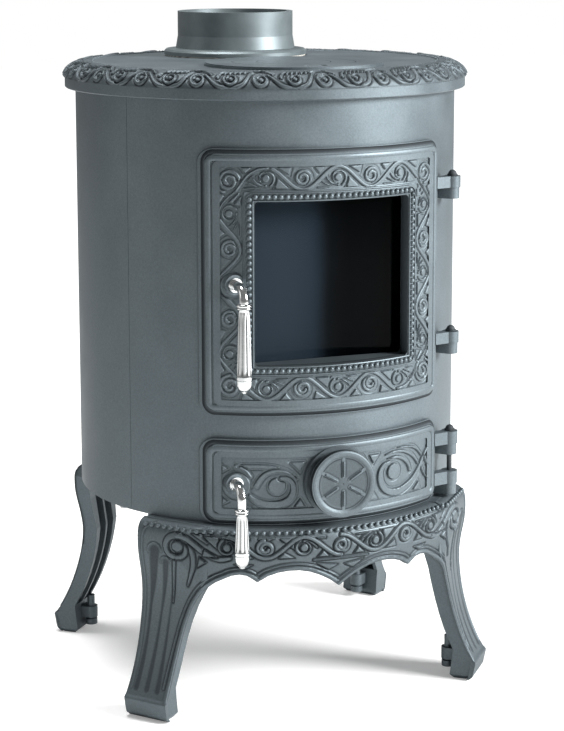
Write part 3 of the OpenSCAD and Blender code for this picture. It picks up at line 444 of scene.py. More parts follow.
def make_finishes(look):
    FINISH["cast_iron"] = make_graphite_iron(look)
    FINISH["dark_iron"] = make_bare_iron()
    FINISH["nickel"] = make_nickel(look)
    # Machined mild steel left oiled: grey with a fine turned grain.
    FINISH["steel"] = make_plain_metal("mild_steel_turned", "#8b8d8f", "#a6a8a9", 1.0, 0.3, 0.45, 300.0, 0.15)
    # Folded sheet steel under a thin black stove paint, matt with a slight orange peel.
    FINISH["sheet_steel"] = make_plain_metal("sheet_steel_stove_paint", "#33373a", "#45494c", 0.1, 0.5, 0.65,
                                             260.0, 0.2)
    # The flue collar is the same casting iron, skimmed on the lathe and rubbed over thinly, so it is smoother.
    FINISH["collar_iron"] = make_plain_metal("cast_iron_turned_collar", "#646e71", "#6f797c", 0.5, 0.44, 0.52,
                                             60.0, 0.05)
    FINISH["ceramic_glass"] = make_stove_glass()
    FINISH["rope_seal"] = make_fibre()


# Nodes whose finish differs from the one that their slot names
OWN_FINISH = {"flue_collar": "collar_iron", "levelling_screws": "cast_iron"}


class STOVE_OT_finishes(bpy.types.Operator):
    """Makes the finishes and gives each CAD node the one its slot names"""
    bl_idname = "stove.finishes"
    bl_label = "Finishes"

    def execute(self, context):
        make_finishes(context.scene.stove_finish)
        slots = {row["node"]: row["material_slot"] for row in frame["record"]["subparts"]}
        for name, obj in frame["nodes"].items():
            finish = OWN_FINISH.get(name, slots[name])
            if not obj.material_slots:
                obj.data.materials.append(FINISH[finish])
            for place in obj.material_slots:
                place.material = FINISH[finish]
        return {"FINISHED"}


# ---------- stage ----------

FLOOR_HALF = 9000
LAMPS = (("key_light", (2.5, -2.1, 1.7), 1.4, 275.0), ("fill_light", (-2.6, 0.6, 1.1), 1.4, 5.0),
         ("top_light", (-0.4, 0.3, 2.9), 1.2, 72.0))     # place, diameter, power
AIM = (0, 0, 0.35)      # the lamps' target, in metres
# The camera as it was fitted to the photograph: focal length in picture heights, place, angles in radians
FOCAL, CAMERA_EYE = 2048.96 / 731.0, (-0.70576, -1.94378, 0.74886)
CAMERA_TURN, CAMERA_DOWN, CAMERA_ROLL = -0.35644, 0.1546, -0.00161


class STOVE_OT_stage(bpy.types.Operator):
    """Makes the floor, the soft lights, the white surroundings and the camera"""
    bl_idname = "stove.stage"
    bl_label = "Floor, light and camera"

    def execute(self, context):
        scene = context.scene
        corners = [(x * FLOOR_HALF, y * FLOOR_HALF, 0) for x, y in ((-1, -1), (1, -1), (1, 1), (-1, 1))]
        mesh = mesh_from("floor", corners, [(0, 1, 2, 3)])
        floor = bpy.data.objects.new("floor", mesh)
        scene.collection.objects.link(floor)
        # Seamless studio paper: white to the eye and in reflections, and it still takes the soft shadow.
        mat, tree, shader, place = start_material("studio_paper")
        rays = add(tree, "ShaderNodeLightPath").outputs
        away = add(tree, "ShaderNodeVectorMath", {0: place}, operation="LENGTH").outputs["Value"]
        glow = calculate(tree, "MULTIPLY", spread(tree, away, 0.24, 0.95, 0.7, 4.0), rays["Is Camera Ray"])
        fill(tree, shader, {"Base Color": to_linear(scene.stove_finish.floor), "Roughness": 0.9,
                            "Emission Color": (1, 1, 1, 1), "Emission Strength": glow})
        mesh.materials.append(mat)

        world = bpy.data.worlds.new("studio")
        world.use_nodes = True
        tree = world.node_tree
        tree.nodes.clear()
        rays = add(tree, "ShaderNodeLightPath").outputs
        seen = calculate(tree, "MAXIMUM", rays["Is Camera Ray"], rays["Is Transmission Ray"])
        soft, white = [add(tree, "ShaderNodeBackground", {"Color": (1, 1, 1, 1), "Strength": strength}).outputs[0]
                       for strength in (0.21, 1.0)]
        mix = add(tree, "ShaderNodeMixShader", {0: seen, 1: soft, 2: white})
        add(tree, "ShaderNodeOutputWorld", {"Surface": mix.outputs[0]})
        scene.world = world

        for name, place, size, power in LAMPS:
            data = bpy.data.lights.new(name, "AREA")
            data.shape, data.size, data.energy = "DISK", size, power
            lamp = bpy.data.objects.new(name, data)
            lamp.location = place
            lamp.rotation_euler = (Vector(AIM) - lamp.location).to_track_quat("-Z", "Y").to_euler()
            scene.collection.objects.link(lamp)

        data = bpy.data.cameras.new("camera")
        data.sensor_width = 36.0
        data.lens = FOCAL * 36.0
        data.shift_y = -0.16
        camera = bpy.data.objects.new("camera", data)
        turn, down, roll = CAMERA_TURN, CAMERA_DOWN, CAMERA_ROLL
        ahead = np.array([-math.sin(turn) * math.cos(down), math.cos(turn) * math.cos(down), -math.sin(down)])
        right = np.array([math.cos(turn), math.sin(turn), 0.0])
        up = np.cross(right, ahead)
        right, up = (right * math.cos(roll) + up * math.sin(roll), -right * math.sin(roll) + up * math.cos(roll))
        camera.matrix_world = Matrix([[right[i], up[i], -ahead[i], CAMERA_EYE[i]] for i in range(3)]
                                     + [[0, 0, 0, 1]])
        scene.collection.objects.link(camera)
        scene.camera = camera
        scene.view_settings.view_transform = "Standard"
        return {"FINISHED"}


# ---------- doors ----------

# Mouldings from a door's edge to the line round its scrolls: distance in, radius
MOULDING = [(0.15, 192.6), (0.15, 194.2), (0.9, 195.4), (3, 196.1), (4.8, 196.3), (5.5, 195.4), (6.3, 198.8),
            (7.4, 199.4), (10.4, 199.4), (11.4, 198.6), (12.1, 197.4), (12.7, 198.0), (13.3, 198.1), (13.8, 197.2)]
# The window's frame, from the field inwards: distance from the opening, radius
WINDOW_FRAME = [(11.0, 197.8), (10.4, 197.9), (9.9, 199.2), (9.3, 199.3), (8.7, 198.6), (8.3, 200.6), (7.6, 200.7),
                (7.2, 199.35), (1.9, 199.35), (1.5, 200.4), (0.9, 200.8), (0.2, 200.5), (-0.1, 199.6),
                (-0.1, 190.0)]
EDGE_SHADE = 0.5, 0.5, 0.5, 0.42, 0.15      # how deep the door's outer edge counts as lying, for its shade
SHEET_R = 195.0     # radius of the back of the sheets that carry the doors' scrolls
UNDER_R, BACK_R = 196.4, 190.0      # radius of the field under the sheet, and of the mouldings' back
SCROLLS_IN = 10.6   # from the window to the inner edge of the scrolls
WINDOW_BEADS_IN, WINDOW_BEADS_R = 4.3, 199.9
SEAT_R, ASH_PANEL = 36.0, 26.6      # the air wheel's round seat, and half height of the ash door's scrolls
CORNER_STEM = np.array([(-113.3, 487), (-110.5, 497), (-104, 504.5), (-96, 511), (-90.5, 519), (-84, 526.5),
                        (-76, 530.8), (-67, 532)])


def loop(half_x, half_z, corner, side, bend, mid_z):
    """Points (s, z) round a rounded rectangle, side points a side and bend points a corner"""
    def at(centre, a):
        return np.array([centre[0] + corner * math.cos(a), centre[1] + corner * math.sin(a)])
    x, z = half_x - corner, half_z - corner
    centres = [(x, z), (-x, z), (-x, -z), (x, -z)]
    out = []
    for k, here in enumerate(centres):
        a = k * math.pi / 2
        out.extend(at(here, a + t) for t in np.linspace(0, math.pi / 2, bend))
        start, end = at(here, a + math.pi / 2), at(centres[(k + 1) % 4], a + math.pi / 2)
        out.extend(start + (end - start) * t for t in np.linspace(0, 1, side + 2)[1:-1])
    return np.array(out) + [0, mid_z]


def lay_running_scroll(relief, place, step, kinds, first, stem_from, stem_to):
    """The running scroll: a waving stem with a rolled tendril in one bend and a leafy eye in the next"""
    def put(points):
        return np.array([place(p, q) for p, q in points])
    for i, kind in enumerate(kinds):
        p0 = first + i * step
        if kind == "V":
            relief.strap(put(arc((p0, 0), 8.2, 2.8, -80, 600, 60)), 1.9)
        if kind == "L":
            for corners in ([(9, 10.5), (24, 10.5), (22, 2.5)], [(-24, 10.5), (-12, 10.5), (-18.5, 3.2)],
                            [(9.5, 2), (23, -10.2), (7, -10.2)]):
                relief.patch(put(np.array(corners) + [p0, 0]))
            for line in ([(6, -8.8), (-20, -9)], [(4, -7.5), (-6, -7.6), (-13, -5.5), (-16.5, -3.2)],
                         [(0, -7), (-6.5, -5.2), (-10, -2.5), (-12, 0.5)]):
                relief.strap(put(curve_through(np.array(line) + [p0, 0], 14)), [1.7, 0.9])
            relief.strap(put(arc((p0, 0), 8.2, 4.6, -60, 300, 30)), 1.5)
            relief.disc(place(p0, 0), 3.9)
    p = np.linspace(stem_from, stem_to, 200)
    q = -0.2 + 10.4 * np.cos((p - first) / step * math.pi + (math.pi if kinds[0] == "V" else 0))
    relief.strap(put(np.stack([p, q], 1)), 2.0)


def lay_fire_scrolls(relief):
    """The scrolls on the four sides of the fire door and in its corners"""
    top, column, mid = 522.6, 102.8, FIRE_MID
    places = [lambda p, q: (p, top + q), lambda p, q: (column + q, mid - p),
              lambda p, q: (-p, 2 * mid - top - q), lambda p, q: (-column - q, mid + p)]
    for place, step, kinds in zip(places, (34.3, 33.0) * 2, ("LVLVL", "LVLVL", "LVLVL", "LV-VL")):
        lay_running_scroll(relief, place, step, kinds, -2 * step, -2.75 * step, 2.75 * step)
    for sx, sz, start in ((-1, -1, 90), (-1, 1, 0), (1, -1, 180), (1, 1, -90)):
        relief.strap(arc((103 * sx, mid + 96.5 * sz), 10.2, 2.8, start, 605, 64), 1.9)
        # In two of the corners the stem goes round the outside of the tendril
        if sx * sz < 0:
            stem = CORNER_STEM if sx < 0 else [0, 2 * mid] + CORNER_STEM * -1
            relief.strap(curve_through(stem, 40), 1.6)
        for tri in ([(-113.7, 510), (-113.7, 495), (-106.5, 506)], [(-91, 508), (-91, 497), (-99, 498)]):
            relief.patch([(-sx * s, mid + sz * (z - mid)) for s, z in tri])
    # The plain boss of the handle
    relief.disc((-column + 2.2, mid - 1), 11.5, 1.2)


def door_mouldings(body, rows, radii, last_shade):
    """A door's stepped mouldings as one closed sheet through rows of points, with painted shade in the grooves"""
    grid = np.stack([bent(row[:, 0], row[:, 1], r) for row, r in zip(rows, radii)])
    r = np.array(radii)
    low = np.zeros(len(r))
    low[1:-1] = np.maximum(0, np.minimum(r[:-2], r[2:]) - r[1:-1])
    # Painted shade darkens the outer edge and the window's reveal, which the sheet in front of them shades
    low[:len(EDGE_SHADE)] = EDGE_SHADE
    low[len(low) - len(last_shade):] = last_shade
    cast_sheet(body + "_mouldings", body, grid, np.repeat(np.clip(low / 0.5, 0, 1), grid.shape[1]), 40)


def bead_row(name, path, pitch, radius, body):
    """Beads set along a path by Geometry Nodes"""
    guide = bpy.data.meshes.new(name + "_path")
    guide.from_pydata((np.asarray(path) * MM).tolist(), [(i, i + 1) for i in range(len(path) - 1)], [])
    obj = bpy.data.objects.new(name + "_guide", guide)
    bpy.context.scene.collection.objects.link(obj)
    tree = bpy.data.node_groups.new(name, "GeometryNodeTree")
    tree.interface.new_socket("Geometry", in_out="INPUT", socket_type="NodeSocketGeometry")
    pitch_in = tree.interface.new_socket("Pitch", in_out="INPUT", socket_type="NodeSocketFloat")
    radius_in = tree.interface.new_socket("Bead radius", in_out="INPUT", socket_type="NodeSocketFloat")
    tree.interface.new_socket("Geometry", in_out="OUTPUT", socket_type="NodeSocketGeometry")
    given = add(tree, "NodeGroupInput").outputs
    line = add(tree, "GeometryNodeMeshToCurve", {"Mesh": given["Geometry"]})
    spots = add(tree, "GeometryNodeCurveToPoints", {"Curve": line.outputs[0], "Length": given["Pitch"]},
                mode="LENGTH")
    ball = add(tree, "GeometryNodeMeshIcoSphere", {"Radius": given["Bead radius"], "Subdivisions": 2})
    laid = add(tree, "GeometryNodeInstanceOnPoints", {"Points": spots.outputs["Points"],
                                                      "Instance": ball.outputs[0]})
    real = add(tree, "GeometryNodeRealizeInstances", {"Geometry": laid.outputs[0]})
    done = add(tree, "GeometryNodeSetMaterial", {"Geometry": real.outputs[0], "Material": FINISH["cast_iron"]})
    add(tree, "NodeGroupOutput", {"Geometry": done.outputs[0]})
    modifier = obj.modifiers.new("beads", "NODES")
    modifier.node_group = tree
    modifier[pitch_in.identifier] = pitch
    modifier[radius_in.identifier] = radius
    bpy.context.view_layer.update()
    mesh = bpy.data.meshes.new_from_object(obj.evaluated_get(bpy.context.evaluated_depsgraph_get()))
    bpy.data.objects.remove(obj)
    mesh.shade_smooth()
    piece(name, mesh, body, "cast_iron")


class STOVE_OT_fire_door(bpy.types.Operator):
    """Makes the fire door's face: mouldings, running scroll, bead row and window frame"""
    bl_idname = "stove.fire_door"
    bl_label = "Fire door face"

    def execute(self, context):
        set_, mid = context.scene.stove_door, FIRE_MID
        field = set_.field_radius / MM + 0.5
        outer = MOULDING + [(14.4, 197.7)]
        edge_rows = [loop(DOOR_S - e, FIRE_HALF - e, max(13 - e, 1.2) if e < 14 else 1.5, 96, 12, mid)
                     for e, r in outer]
        window_rows = [loop(WINDOW_S + e, WINDOW_HALF + e, max(e, 0.6), 96, 12, mid) for e, r in WINDOW_FRAME]
        # The field under the scrolls lies a little lower than the sheet that carries them
        centre, small = np.array([0, mid]), 0.015
        under = [edge_rows[-1] * (1 - small) + centre * small, window_rows[0] * (1 + small) - centre * small]
        door_mouldings("fire_door", edge_rows + under + window_rows + edge_rows[:1],
                       [r for e, r in outer] + [UNDER_R, UNDER_R] + [r for e, r in WINDOW_FRAME] + [BACK_R],
                       (0.15, 0.42, 0.5))

        # The scrolls: a sheet between the line round the panel and the channel of the beads
        out_loop = loop(DOOR_S - PANEL_IN, FIRE_HALF - PANEL_IN, 1.4, 330, 8, mid)
        in_loop = loop(WINDOW_S + SCROLLS_IN, WINDOW_HALF + SCROLLS_IN, 9, 330, 8, mid)
        t = np.linspace(0, 1, 42)[:, None, None]
        sheet = out_loop * (1 - t) + in_loop * t
        relief = Relief(sheet[..., 0], sheet[..., 1], set_.strap_rise / MM, set_.moat_depth / MM)
        lay_fire_scrolls(relief)
        r = (field + relief.height).reshape(sheet.shape[:2])
        r[[0, -1]] = field - 0.3
        back = bent(sheet[[-1, 0], :, 0], sheet[[-1, 0], :, 1], SHEET_R)
        # Painted shade in the scrolls' lines, none on the back
        hollow = np.concatenate([relief.hollow(), np.zeros(2 * r.shape[1])])
        cast_sheet("fire_door_scrolls", "fire_door",
                   np.concatenate([bent(sheet[..., 0], sheet[..., 1], r), back]), hollow)

        path = loop(WINDOW_S + WINDOW_BEADS_IN, WINDOW_HALF + WINDOW_BEADS_IN, WINDOW_BEADS_IN, 60, 10, mid)
        path = np.vstack([path, path[:1]])
        bead_row("window_beads", bent(path[:, 0], path[:, 1], WINDOW_BEADS_R), set_.bead_pitch,
                 set_.bead_radius, "fire_door")
        return {"FINISHED"}


# Leaf scrolls of the ash door, in the order in which they lie over each other: a leaf's line and half
# widths, or a disc's middle, radius and rise
ASH_LEFT = [
    ([(-97.3, 250), (-86, 250), (-72.8, 250.1), (-60.6, 248.9), (-51.2, 246.3), (-44.6, 242.7), (-39.9, 237.6)],
     [2.5, 2.3, 0.9]),
    ([(-93, 248.7), (-87.5, 245.5), (-83.5, 240.5)], [1.9, 1.4]),
    ([(-78.5, 231.5), (-74.7, 237.9), (-69.1, 243.2), (-60.6, 245.7), (-52.2, 245.2), (-43.7, 241.2)],
     [2.6, 2.2, 1.1]),
    ((-58.8, 231), 8.6, None),
    ([(-85.1, 222.2), (-79.5, 217.5), (-70.1, 213.9), (-59.8, 213.2), (-51.3, 215.4), (-45.6, 220.2),
      (-43.2, 227.1), (-44.3, 233.9), (-49, 237.8), (-55, 238.9)], [1.8, 3.3, 3.9, 3.9, 3.6, 3.0, 2.2]),
    ((-96.6, 231.5), 13, 1.3)]
ASH_RIGHT = [
    ([(68.2, 256), (81.9, 255.4), (93, 251.7), (101, 244.2), (107, 236)], [1.2, 1.7, 1.0]),
    ([(53.1, 251.6), (63.1, 253.2), (75, 252), (86.4, 246.5), (94, 239.4), (98, 233)], [1.2, 2.0, 1.5]),
    ([(55.6, 247), (65.7, 247.6), (75.1, 244.4), (82.1, 238), (84.6, 231.5)], [1.3, 2.3, 2.0]),
    ((63, 234), 8.4, None),
    ([(112, 249), (104, 240), (98.8, 232), (91.1, 223.6), (82.4, 217.8), (71.3, 214), (60.9, 213.8),
      (52.1, 217.8), (47, 225.9), (46.4, 235.8), (50.7, 242), (58, 244)], [1.4, 2.6, 3.7, 3.9, 3.5, 2.0]),
    ([(103, 230), (108, 222), (115, 216)], [1.8, 0.9]), ([(108, 240), (111, 234), (115, 230)], [1.8, 0.9])]
ASH_PATCHES = {
    -1: ([(-111, 251), (-111, 244), (-104.5, 247.5)], [(-111, 219.5), (-111, 212.5), (-104.5, 216)],
         [(-47, 254.5), (-32, 254.5), (-36.5, 243.5)], [(-44, 210), (-31, 210), (-36.5, 219.5)],
         [(-92, 209.6), (-78, 209.6), (-88, 213)]),
    1: ([(88, 210.2), (101, 210.2), (98.5, 219)], [(33, 254.5), (46, 254.5), (38, 244.5)],
        [(31, 210), (43, 210), (37, 219.5)])}


class STOVE_OT_ash_door(bpy.types.Operator):
    """Makes the ash door's face: mouldings and the leaf scrolls on both sides of the air wheel"""
    bl_idname = "stove.ash_door"
    bl_label = "Ash door face"

    def execute(self, context):
        set_, mid = context.scene.stove_door, ASH_MID
        field = set_.field_radius / MM + 0.6
        steps = MOULDING + [(14.4, 197.9), (14.6, 194.0), (0.6, 191.5)]
        rows = [loop(DOOR_S - e, ASH_HALF - e, max(13 - e, 4), 90, 12, mid) for e, r in steps]
        door_mouldings("ash_door", rows, [r for e, r in steps], ())

        points, faces, shades, start = [], [], [], 0
        for side, forms in ((-1, ASH_LEFT), (1, ASH_RIGHT)):
            zz, share = np.meshgrid(np.linspace(mid - ASH_PANEL, mid + ASH_PANEL, 84), np.linspace(0, 1, 150),
                                    indexing="ij")
            # Each half begins at the round seat of the air wheel
            seat = np.sqrt(np.maximum(SEAT_R ** 2 - (zz - mid) ** 2, 0))
            ss = side * (seat + (DOOR_S - PANEL_IN - seat) * share)
            relief = Relief(ss, zz, set_.strap_rise / MM * 1.15, set_.moat_depth / MM * 1.3)
            for form in forms:
                if len(form) == 2:
                    relief.strap(curve_through(form[0], 60), form[1])
                else:
                    relief.disc(*form)
            for corners in ASH_PATCHES[side]:
                relief.patch(corners)
            front = bent(ss, zz, (field + relief.height).reshape(ss.shape)).reshape(-1, 3)
            ring = grid_edge(ss.shape)
            rim = front[ring]
            rim[:, :2] *= (SHEET_R / np.linalg.norm(rim[:, :2], axis=1))[:, None]
            back = len(front) + np.arange(len(ring))
            half = grid_faces(*ss.shape).tolist() + wall_faces(ring, back) + [back.tolist()]
            faces += [[i + start for i in face] for face in half]
            points += [front, rim]
            # Painted shade in the scrolls' lines, stronger on this door
            shades += [np.minimum(1.35 * relief.hollow(), 1), np.zeros(len(ring))]
            start += len(front) + len(ring)
        cast_piece("ash_door_scrolls", "ash_door", np.vstack(points), faces, np.concatenate(shades))
        return {"FINISHED"}


# ---------- apron and legs ----------

# Lower edge of the front casting for s >= 0: the scallops, then the leg's inner edge down to the floor
LOW_EDGE = np.array([
    (0, 131.6), (10, 139), (20, 144.5), (30, 148.6), (40, 150.6), (50, 150.6), (60, 149), (70, 145.5),
    (76, 141.6), (80.5, 139.4), (85, 142.6), (90, 145.6), (97, 146.6), (105, 145), (110, 142.6), (120, 137.6),
    (130, 130.5), (137.5, 121), (143.5, 110), (148.5, 97), (152.5, 82), (156, 62), (158.2, 42), (159.2, 20)])
LEG_IN, LEG_OUT = 159.2, 201.6
LEG_ANGLE, KNEE_OUT = 50.5, 206.5   # a front leg's middle from straight ahead, and its knee's radius
FRAME_RISE, FRAME_LINE = 1.5, 0.9   # rise of the apron's ornament and depth of its lines
LIP, LIP_LINE = 0.9, 0.35           # the same for the fine lips
APRON_BEAD_Z, APRON_BEAD_S = 187.6, 193
# Flutes of a front leg, widening into round tops: line, half widths
FLUTES = (([(182, 163.5), (186, 140), (190, 110), (191.5, 80), (192.5, 52), (193, 29)],
           [6.4, 5.0, 2.7, 2.6, 3.3, 3.7]),
          ([(170.5, 153), (174, 130), (178, 100), (180.4, 72), (181.8, 48), (182, 29)],
           [4.5, 3.4, 2.3, 2.6, 3.3, 3.7]),
          ([(163, 150), (165.2, 125), (168.4, 100), (170.3, 72), (171, 48), (171, 29)],
           [2.4, 2.3, 2.0, 2.5, 3.1, 3.6]))
LEG_RAIL = [(184, 189), (191.5, 185.5), (195.5, 178), (196.6, 160), (197, 120), (197.6, 70), (198, 29)]
KNEE_TAIL = [(144.8, 172), (142, 165.6), (141, 158.8), (141.7, 150.9), (144.4, 141.7), (147.7, 132.5)]
KNEE_SCROLL = [(106, 163.6), (113, 161.8), (118.8, 162.4), (126.5, 165.6), (134.3, 170.4), (141.3, 175.4),
               (148.3, 179.6), (156.5, 181.2), (164.4, 179.4), (168.6, 174.4), (168.8, 168), (165.8, 162.6),
               (160.4, 160.3), (153.4, 161), (149, 164.6), (148.4, 169.5), (151.5, 172.5)]
FRAME_PATCHES = ([(43, 183.4), (61, 183.4), (50, 176.5)], [(64, 183.4), (80, 183.4), (76, 176.5)],
                 [(128, 158), (135, 163), (137, 152)], [(3, 154.2), (24, 157.2), (12, 149.5)],
                 [(84, 157), (102, 157), (92, 152.5)])


def quarter(points, count):
    """Points on a cubic curve with four given control points"""
    p = np.asarray(points, float)
    t = np.linspace(0, 1, count)[:, None]
    return (1 - t) ** 3 * p[0] + 3 * (1 - t) ** 2 * t * p[1] + 3 * (1 - t) * t * t * p[2] + t ** 3 * p[3]


def leg_side(back, shin):
    """Side view of a leg's front, as (radius, height) from the top down; back sets the knee further in"""
    knee = [(195.5, 191.7), (206.5, 189), (206.5, 180), (206.5, 170), (206.5, 152), (200.5, 142), (200.5, 120)]
    knee = [(r - back, z) for r, z in knee]
    return np.vstack([quarter(knee[:4], 12), quarter(knee[3:], 14)[1:],
                      quarter(knee[-1:] + shin + [(228.5, 19.5)], 20)[1:], [(225.4, 4.0), (222.5, 0.4)]])


FRONT_LEG = leg_side(0, [(200.5, 88), (210.5, 46)])
REAR_LEG = leg_side(9, [(193.3, 88), (208.7, 46)]) + [5.0, 0.0]


def leg_radius(side, z):
    """Radius of a leg's front over the height"""
    return np.interp(z, side[::-1, 1], side[::-1, 0])


def face_radius(s, z, out):
    """Radius of the front casting's face: round over the apron, flat across each leg, eased together"""
    angle = np.abs(s) / KNEE_R
    leg, curved = math.radians(LEG_ANGLE), leg_radius(FRONT_LEG, z)
    flat = curved / np.cos(np.clip(angle - leg, -0.3, 0.2))
    # Beside the apron the flat face goes no further out than a plane that touches the knee's widest part
    tangent = KNEE_OUT / np.cos(angle - leg + math.radians(11))
    flat = np.where((angle < leg) & (z > 88), np.minimum(flat, tangent), flat)
    mix = ease((angle - math.radians(34)) / math.radians(5))
    return curved * (1 - mix) + flat * mix + out


def lay_leg_frame(relief):
    """Ornament of the front casting over (s, z)"""
    for m in (-1, 1):
        def side(points, count=None):
            points = np.array(points) * [m, 1.0]
            return curve_through(points, count) if count else points
        for points, half in FLUTES:
            wide = np.interp(np.linspace(0, 5, 60), np.arange(6), half)
            relief.strap(side(points, 60), wide, -0.62, 0.0, 2.2)
        # A lip over the two outer flutes
        for s, z, r, past, count, half in ((182, 163.5, 7.4, 20, 24, 0.95), (170.5, 153, 5.6, 10, 20, 0.85)):
            start = -past if m > 0 else 180 + past
            relief.strap(arc((m * s, z), r, r, start, (180 + past) * m, count), half, LIP, LIP_LINE)
        relief.strap(side(LEG_RAIL, 60), [0.9, 1.2], LIP, LIP_LINE)
        relief.strap(side([(160.5, 158), (163, 138), (165, 113)], 24), [1.7, 0.7], 1.0)
        # Mouldings along the scallops and down the leg's inner edge
        edge = side(LOW_EDGE)
        for part, cut in ((curve_through(edge[:10], 60), slice(3, -4)),
                          (curve_through(edge[9:], 110), slice(4, -8))):
            along = np.gradient(part, axis=0)
            normal = m * np.stack([-along[:, 1], along[:, 0]], 1) / np.linalg.norm(along, axis=1)[:, None]
            relief.strap(part + normal * 2.1, 1.9, 1.0, 0.3)
            relief.strap((part + normal * 6.6)[cut], 1.15, 1.0, 0.7)
        for corners in FRAME_PATCHES:
            relief.patch(side(corners))
        # Rolled tendril over the knee: the stem comes from the apron, and its tail runs down the leg
        relief.strap(side(KNEE_TAIL, 50), [2.6, 2.2, 1.0])
        relief.strap(side(KNEE_SCROLL, 130), [2.4, 3.0, 3.0, 2.9, 2.7, 2.2])
        relief.disc((m * 156.6, 171), 5.6)
        relief.patch(side([(143, 184.8), (122, 185), (127, 175.5)]))
    for kinds, m in (("VLVL", 1), ("-LVL", -1)):
        lay_running_scroll(relief, lambda p, q: (m * p, 173.4 - 0.94 * q), 36.0, kinds, 0.0, 0.0, 108.0)
    relief.strap([(-27, 160.5), (27, 160.5)], 1.0)


def shape_toe(relief, from_side):
    """Makes the toe a plain block with a soft edge above it, and softens the leg's sides"""
    toe = ease((relief.v - TOE_TOP) / 3.0)
    relief.height = relief.height * toe + 0.9 * (1 - toe)
    relief.height -= 1.6 * (1 - ease((relief.v - SOLE) / 6)) ** 2
    relief.height -= (1 - ease(from_side / 2.2)) ** 2


def relief_slab(s, z, radius, relief):
    """Closed sheet: relief over a grid in front, a plain back behind it"""
    # Painted shade: all of the ornament is darkened a little, so none of it is quite as pale as the plain shells
    hollow = 0.14 + 0.86 * relief.hollow()
    front = bent(s, z, radius + relief.height.reshape(s.shape), KNEE_R)
    behind = bent(s, z, radius - SHEET_BACK, KNEE_R)
    ring = grid_edge(s.shape)
    faces = np.vstack([grid_faces(*s.shape), grid_faces(*s.shape, start=s.size)]).tolist()
    return (np.vstack([front.reshape(-1, 3), behind.reshape(-1, 3)]), faces + wall_faces(ring, s.size + ring),
            np.concatenate([hollow, np.zeros(s.size)]))


class STOVE_OT_leg_frame(bpy.types.Operator):
    """Makes the face of the apron and front legs: scrolls, mouldings, flutes and the bead row"""
    bl_idname = "stove.leg_frame"
    bl_label = "Apron and front legs"

    def execute(self, context):
        set_ = context.scene.stove_body
        s = np.unique(np.concatenate([np.linspace(0, 140, 224), np.linspace(140, LEG_IN, 52)]))
        ss, tt = np.meshgrid(np.concatenate([-s[:0:-1], s]), np.linspace(0, 1, 88))
        base = np.interp(np.abs(ss), LOW_EDGE[:, 0], LOW_EDGE[:, 1])
        grids = [("apron_face", ss, base + (CASTING_TOP - base) * tt)]
        for name, m in (("front_left_leg_face", -1), ("front_right_leg_face", 1)):
            grids.append((name, *np.meshgrid(m * np.linspace(LEG_IN, LEG_OUT, 72),
                                             np.linspace(SOLE, CASTING_TOP, 290))))
        for name, ss, zz in grids:
            relief = Relief(ss, zz, FRAME_RISE, FRAME_LINE)
            lay_leg_frame(relief)
            if name != "apron_face":
                s = np.abs(relief.u)
                # The inner side is soft only where the apron doesn't join it
                shape_toe(relief, np.where(s > 180, np.minimum(s - LEG_IN, LEG_OUT - s), 9))
            cast_piece(name, "stove", *relief_slab(ss, zz, face_radius(ss, zz, SHEET_OUT), relief))
        a, z = np.linspace(-APRON_BEAD_S, APRON_BEAD_S, 240) / KNEE_R, np.full(240, APRON_BEAD_Z)
        bead_row("apron_beads", bent(a, z, face_radius(a * KNEE_R, z, 3.1), 1),
                 2 * APRON_BEAD_S * MM / set_.apron_beads, set_.apron_bead_radius, "stove")
        return {"FINISHED"}


class STOVE_OT_rear_legs(bpy.types.Operator):
    """Makes the fluted faces of the two rear legs"""
    bl_idname = "stove.rear_legs"
    bl_label = "Rear legs"

    def execute(self, context):
        z, columns = np.linspace(SOLE, 190.6, 250), 84
        half = np.interp(z, [0, 19, 60, 90, 108, 128, 140, 162, 178, 191],
                         [21, 21, 21.8, 23.2, 24.8, 27.4, 29.2, 32.1, 33.1, 30.6])
        xx = np.linspace(-1, 1, columns)[None, :] * half[:, None]
        zz, radius = [np.repeat(row[:, None], columns, 1) for row in (z, leg_radius(REAR_LEG, z))]
        radius = radius + SHEET_OUT
        for name, angle in (("rear_left_leg_face", -129.5), ("rear_right_leg_face", 129.5)):
            relief = Relief(xx, zz, 1.0, 0.8)
            for m in (-1, 0, 1):
                line = curve_through([(14 * m, 158), (9.5 * m, 110), (11.5 * m * 0.95, 70), (11.5 * m, 29)], 50)
                relief.strap(line, [5.6, 3.4, 2.6, 3.2, 3.7], -0.75, 0.0, 2.2)
                relief.strap(arc((14 * m, 158), 6.6, 6.6, -10, 200, 20), 0.9, LIP, LIP_LINE)
            for m in (-1, 1):
                relief.strap(np.stack([m * (half - 3.0), z], 1)[36:-8:4], 1.1, LIP, LIP_LINE)
            shape_toe(relief, half.repeat(columns) - np.abs(relief.u))
            points, faces, hollow = relief_slab(xx / radius * KNEE_R, zz, radius, relief)
            # The sheet was bent round the stove; lay it flat again on the leg and turn it to its place
            r = np.concatenate([radius.ravel() + relief.height, (radius - SHEET_BACK).ravel()])
            x, a = np.tile(xx.ravel(), 2), math.radians(angle)
            points = np.stack([r * math.sin(a) + x * math.cos(a), -r * math.cos(a) + x * math.sin(a),
                               points[:, 2]], 1)
            cast_piece(name, "stove", points, faces, hollow)
        return {"FINISHED"}


# ---------- rim ----------

HOB_R, OVOLO_FOOT = 174.5, 604.5        # where the ovolo meets the hob's border, and its lower height
OVOLO_WIDE, OVOLO_HIGH = 26.5, 14.5
HOB_BEAD_R, HOB_BEAD_Z = 173.6, 619.5


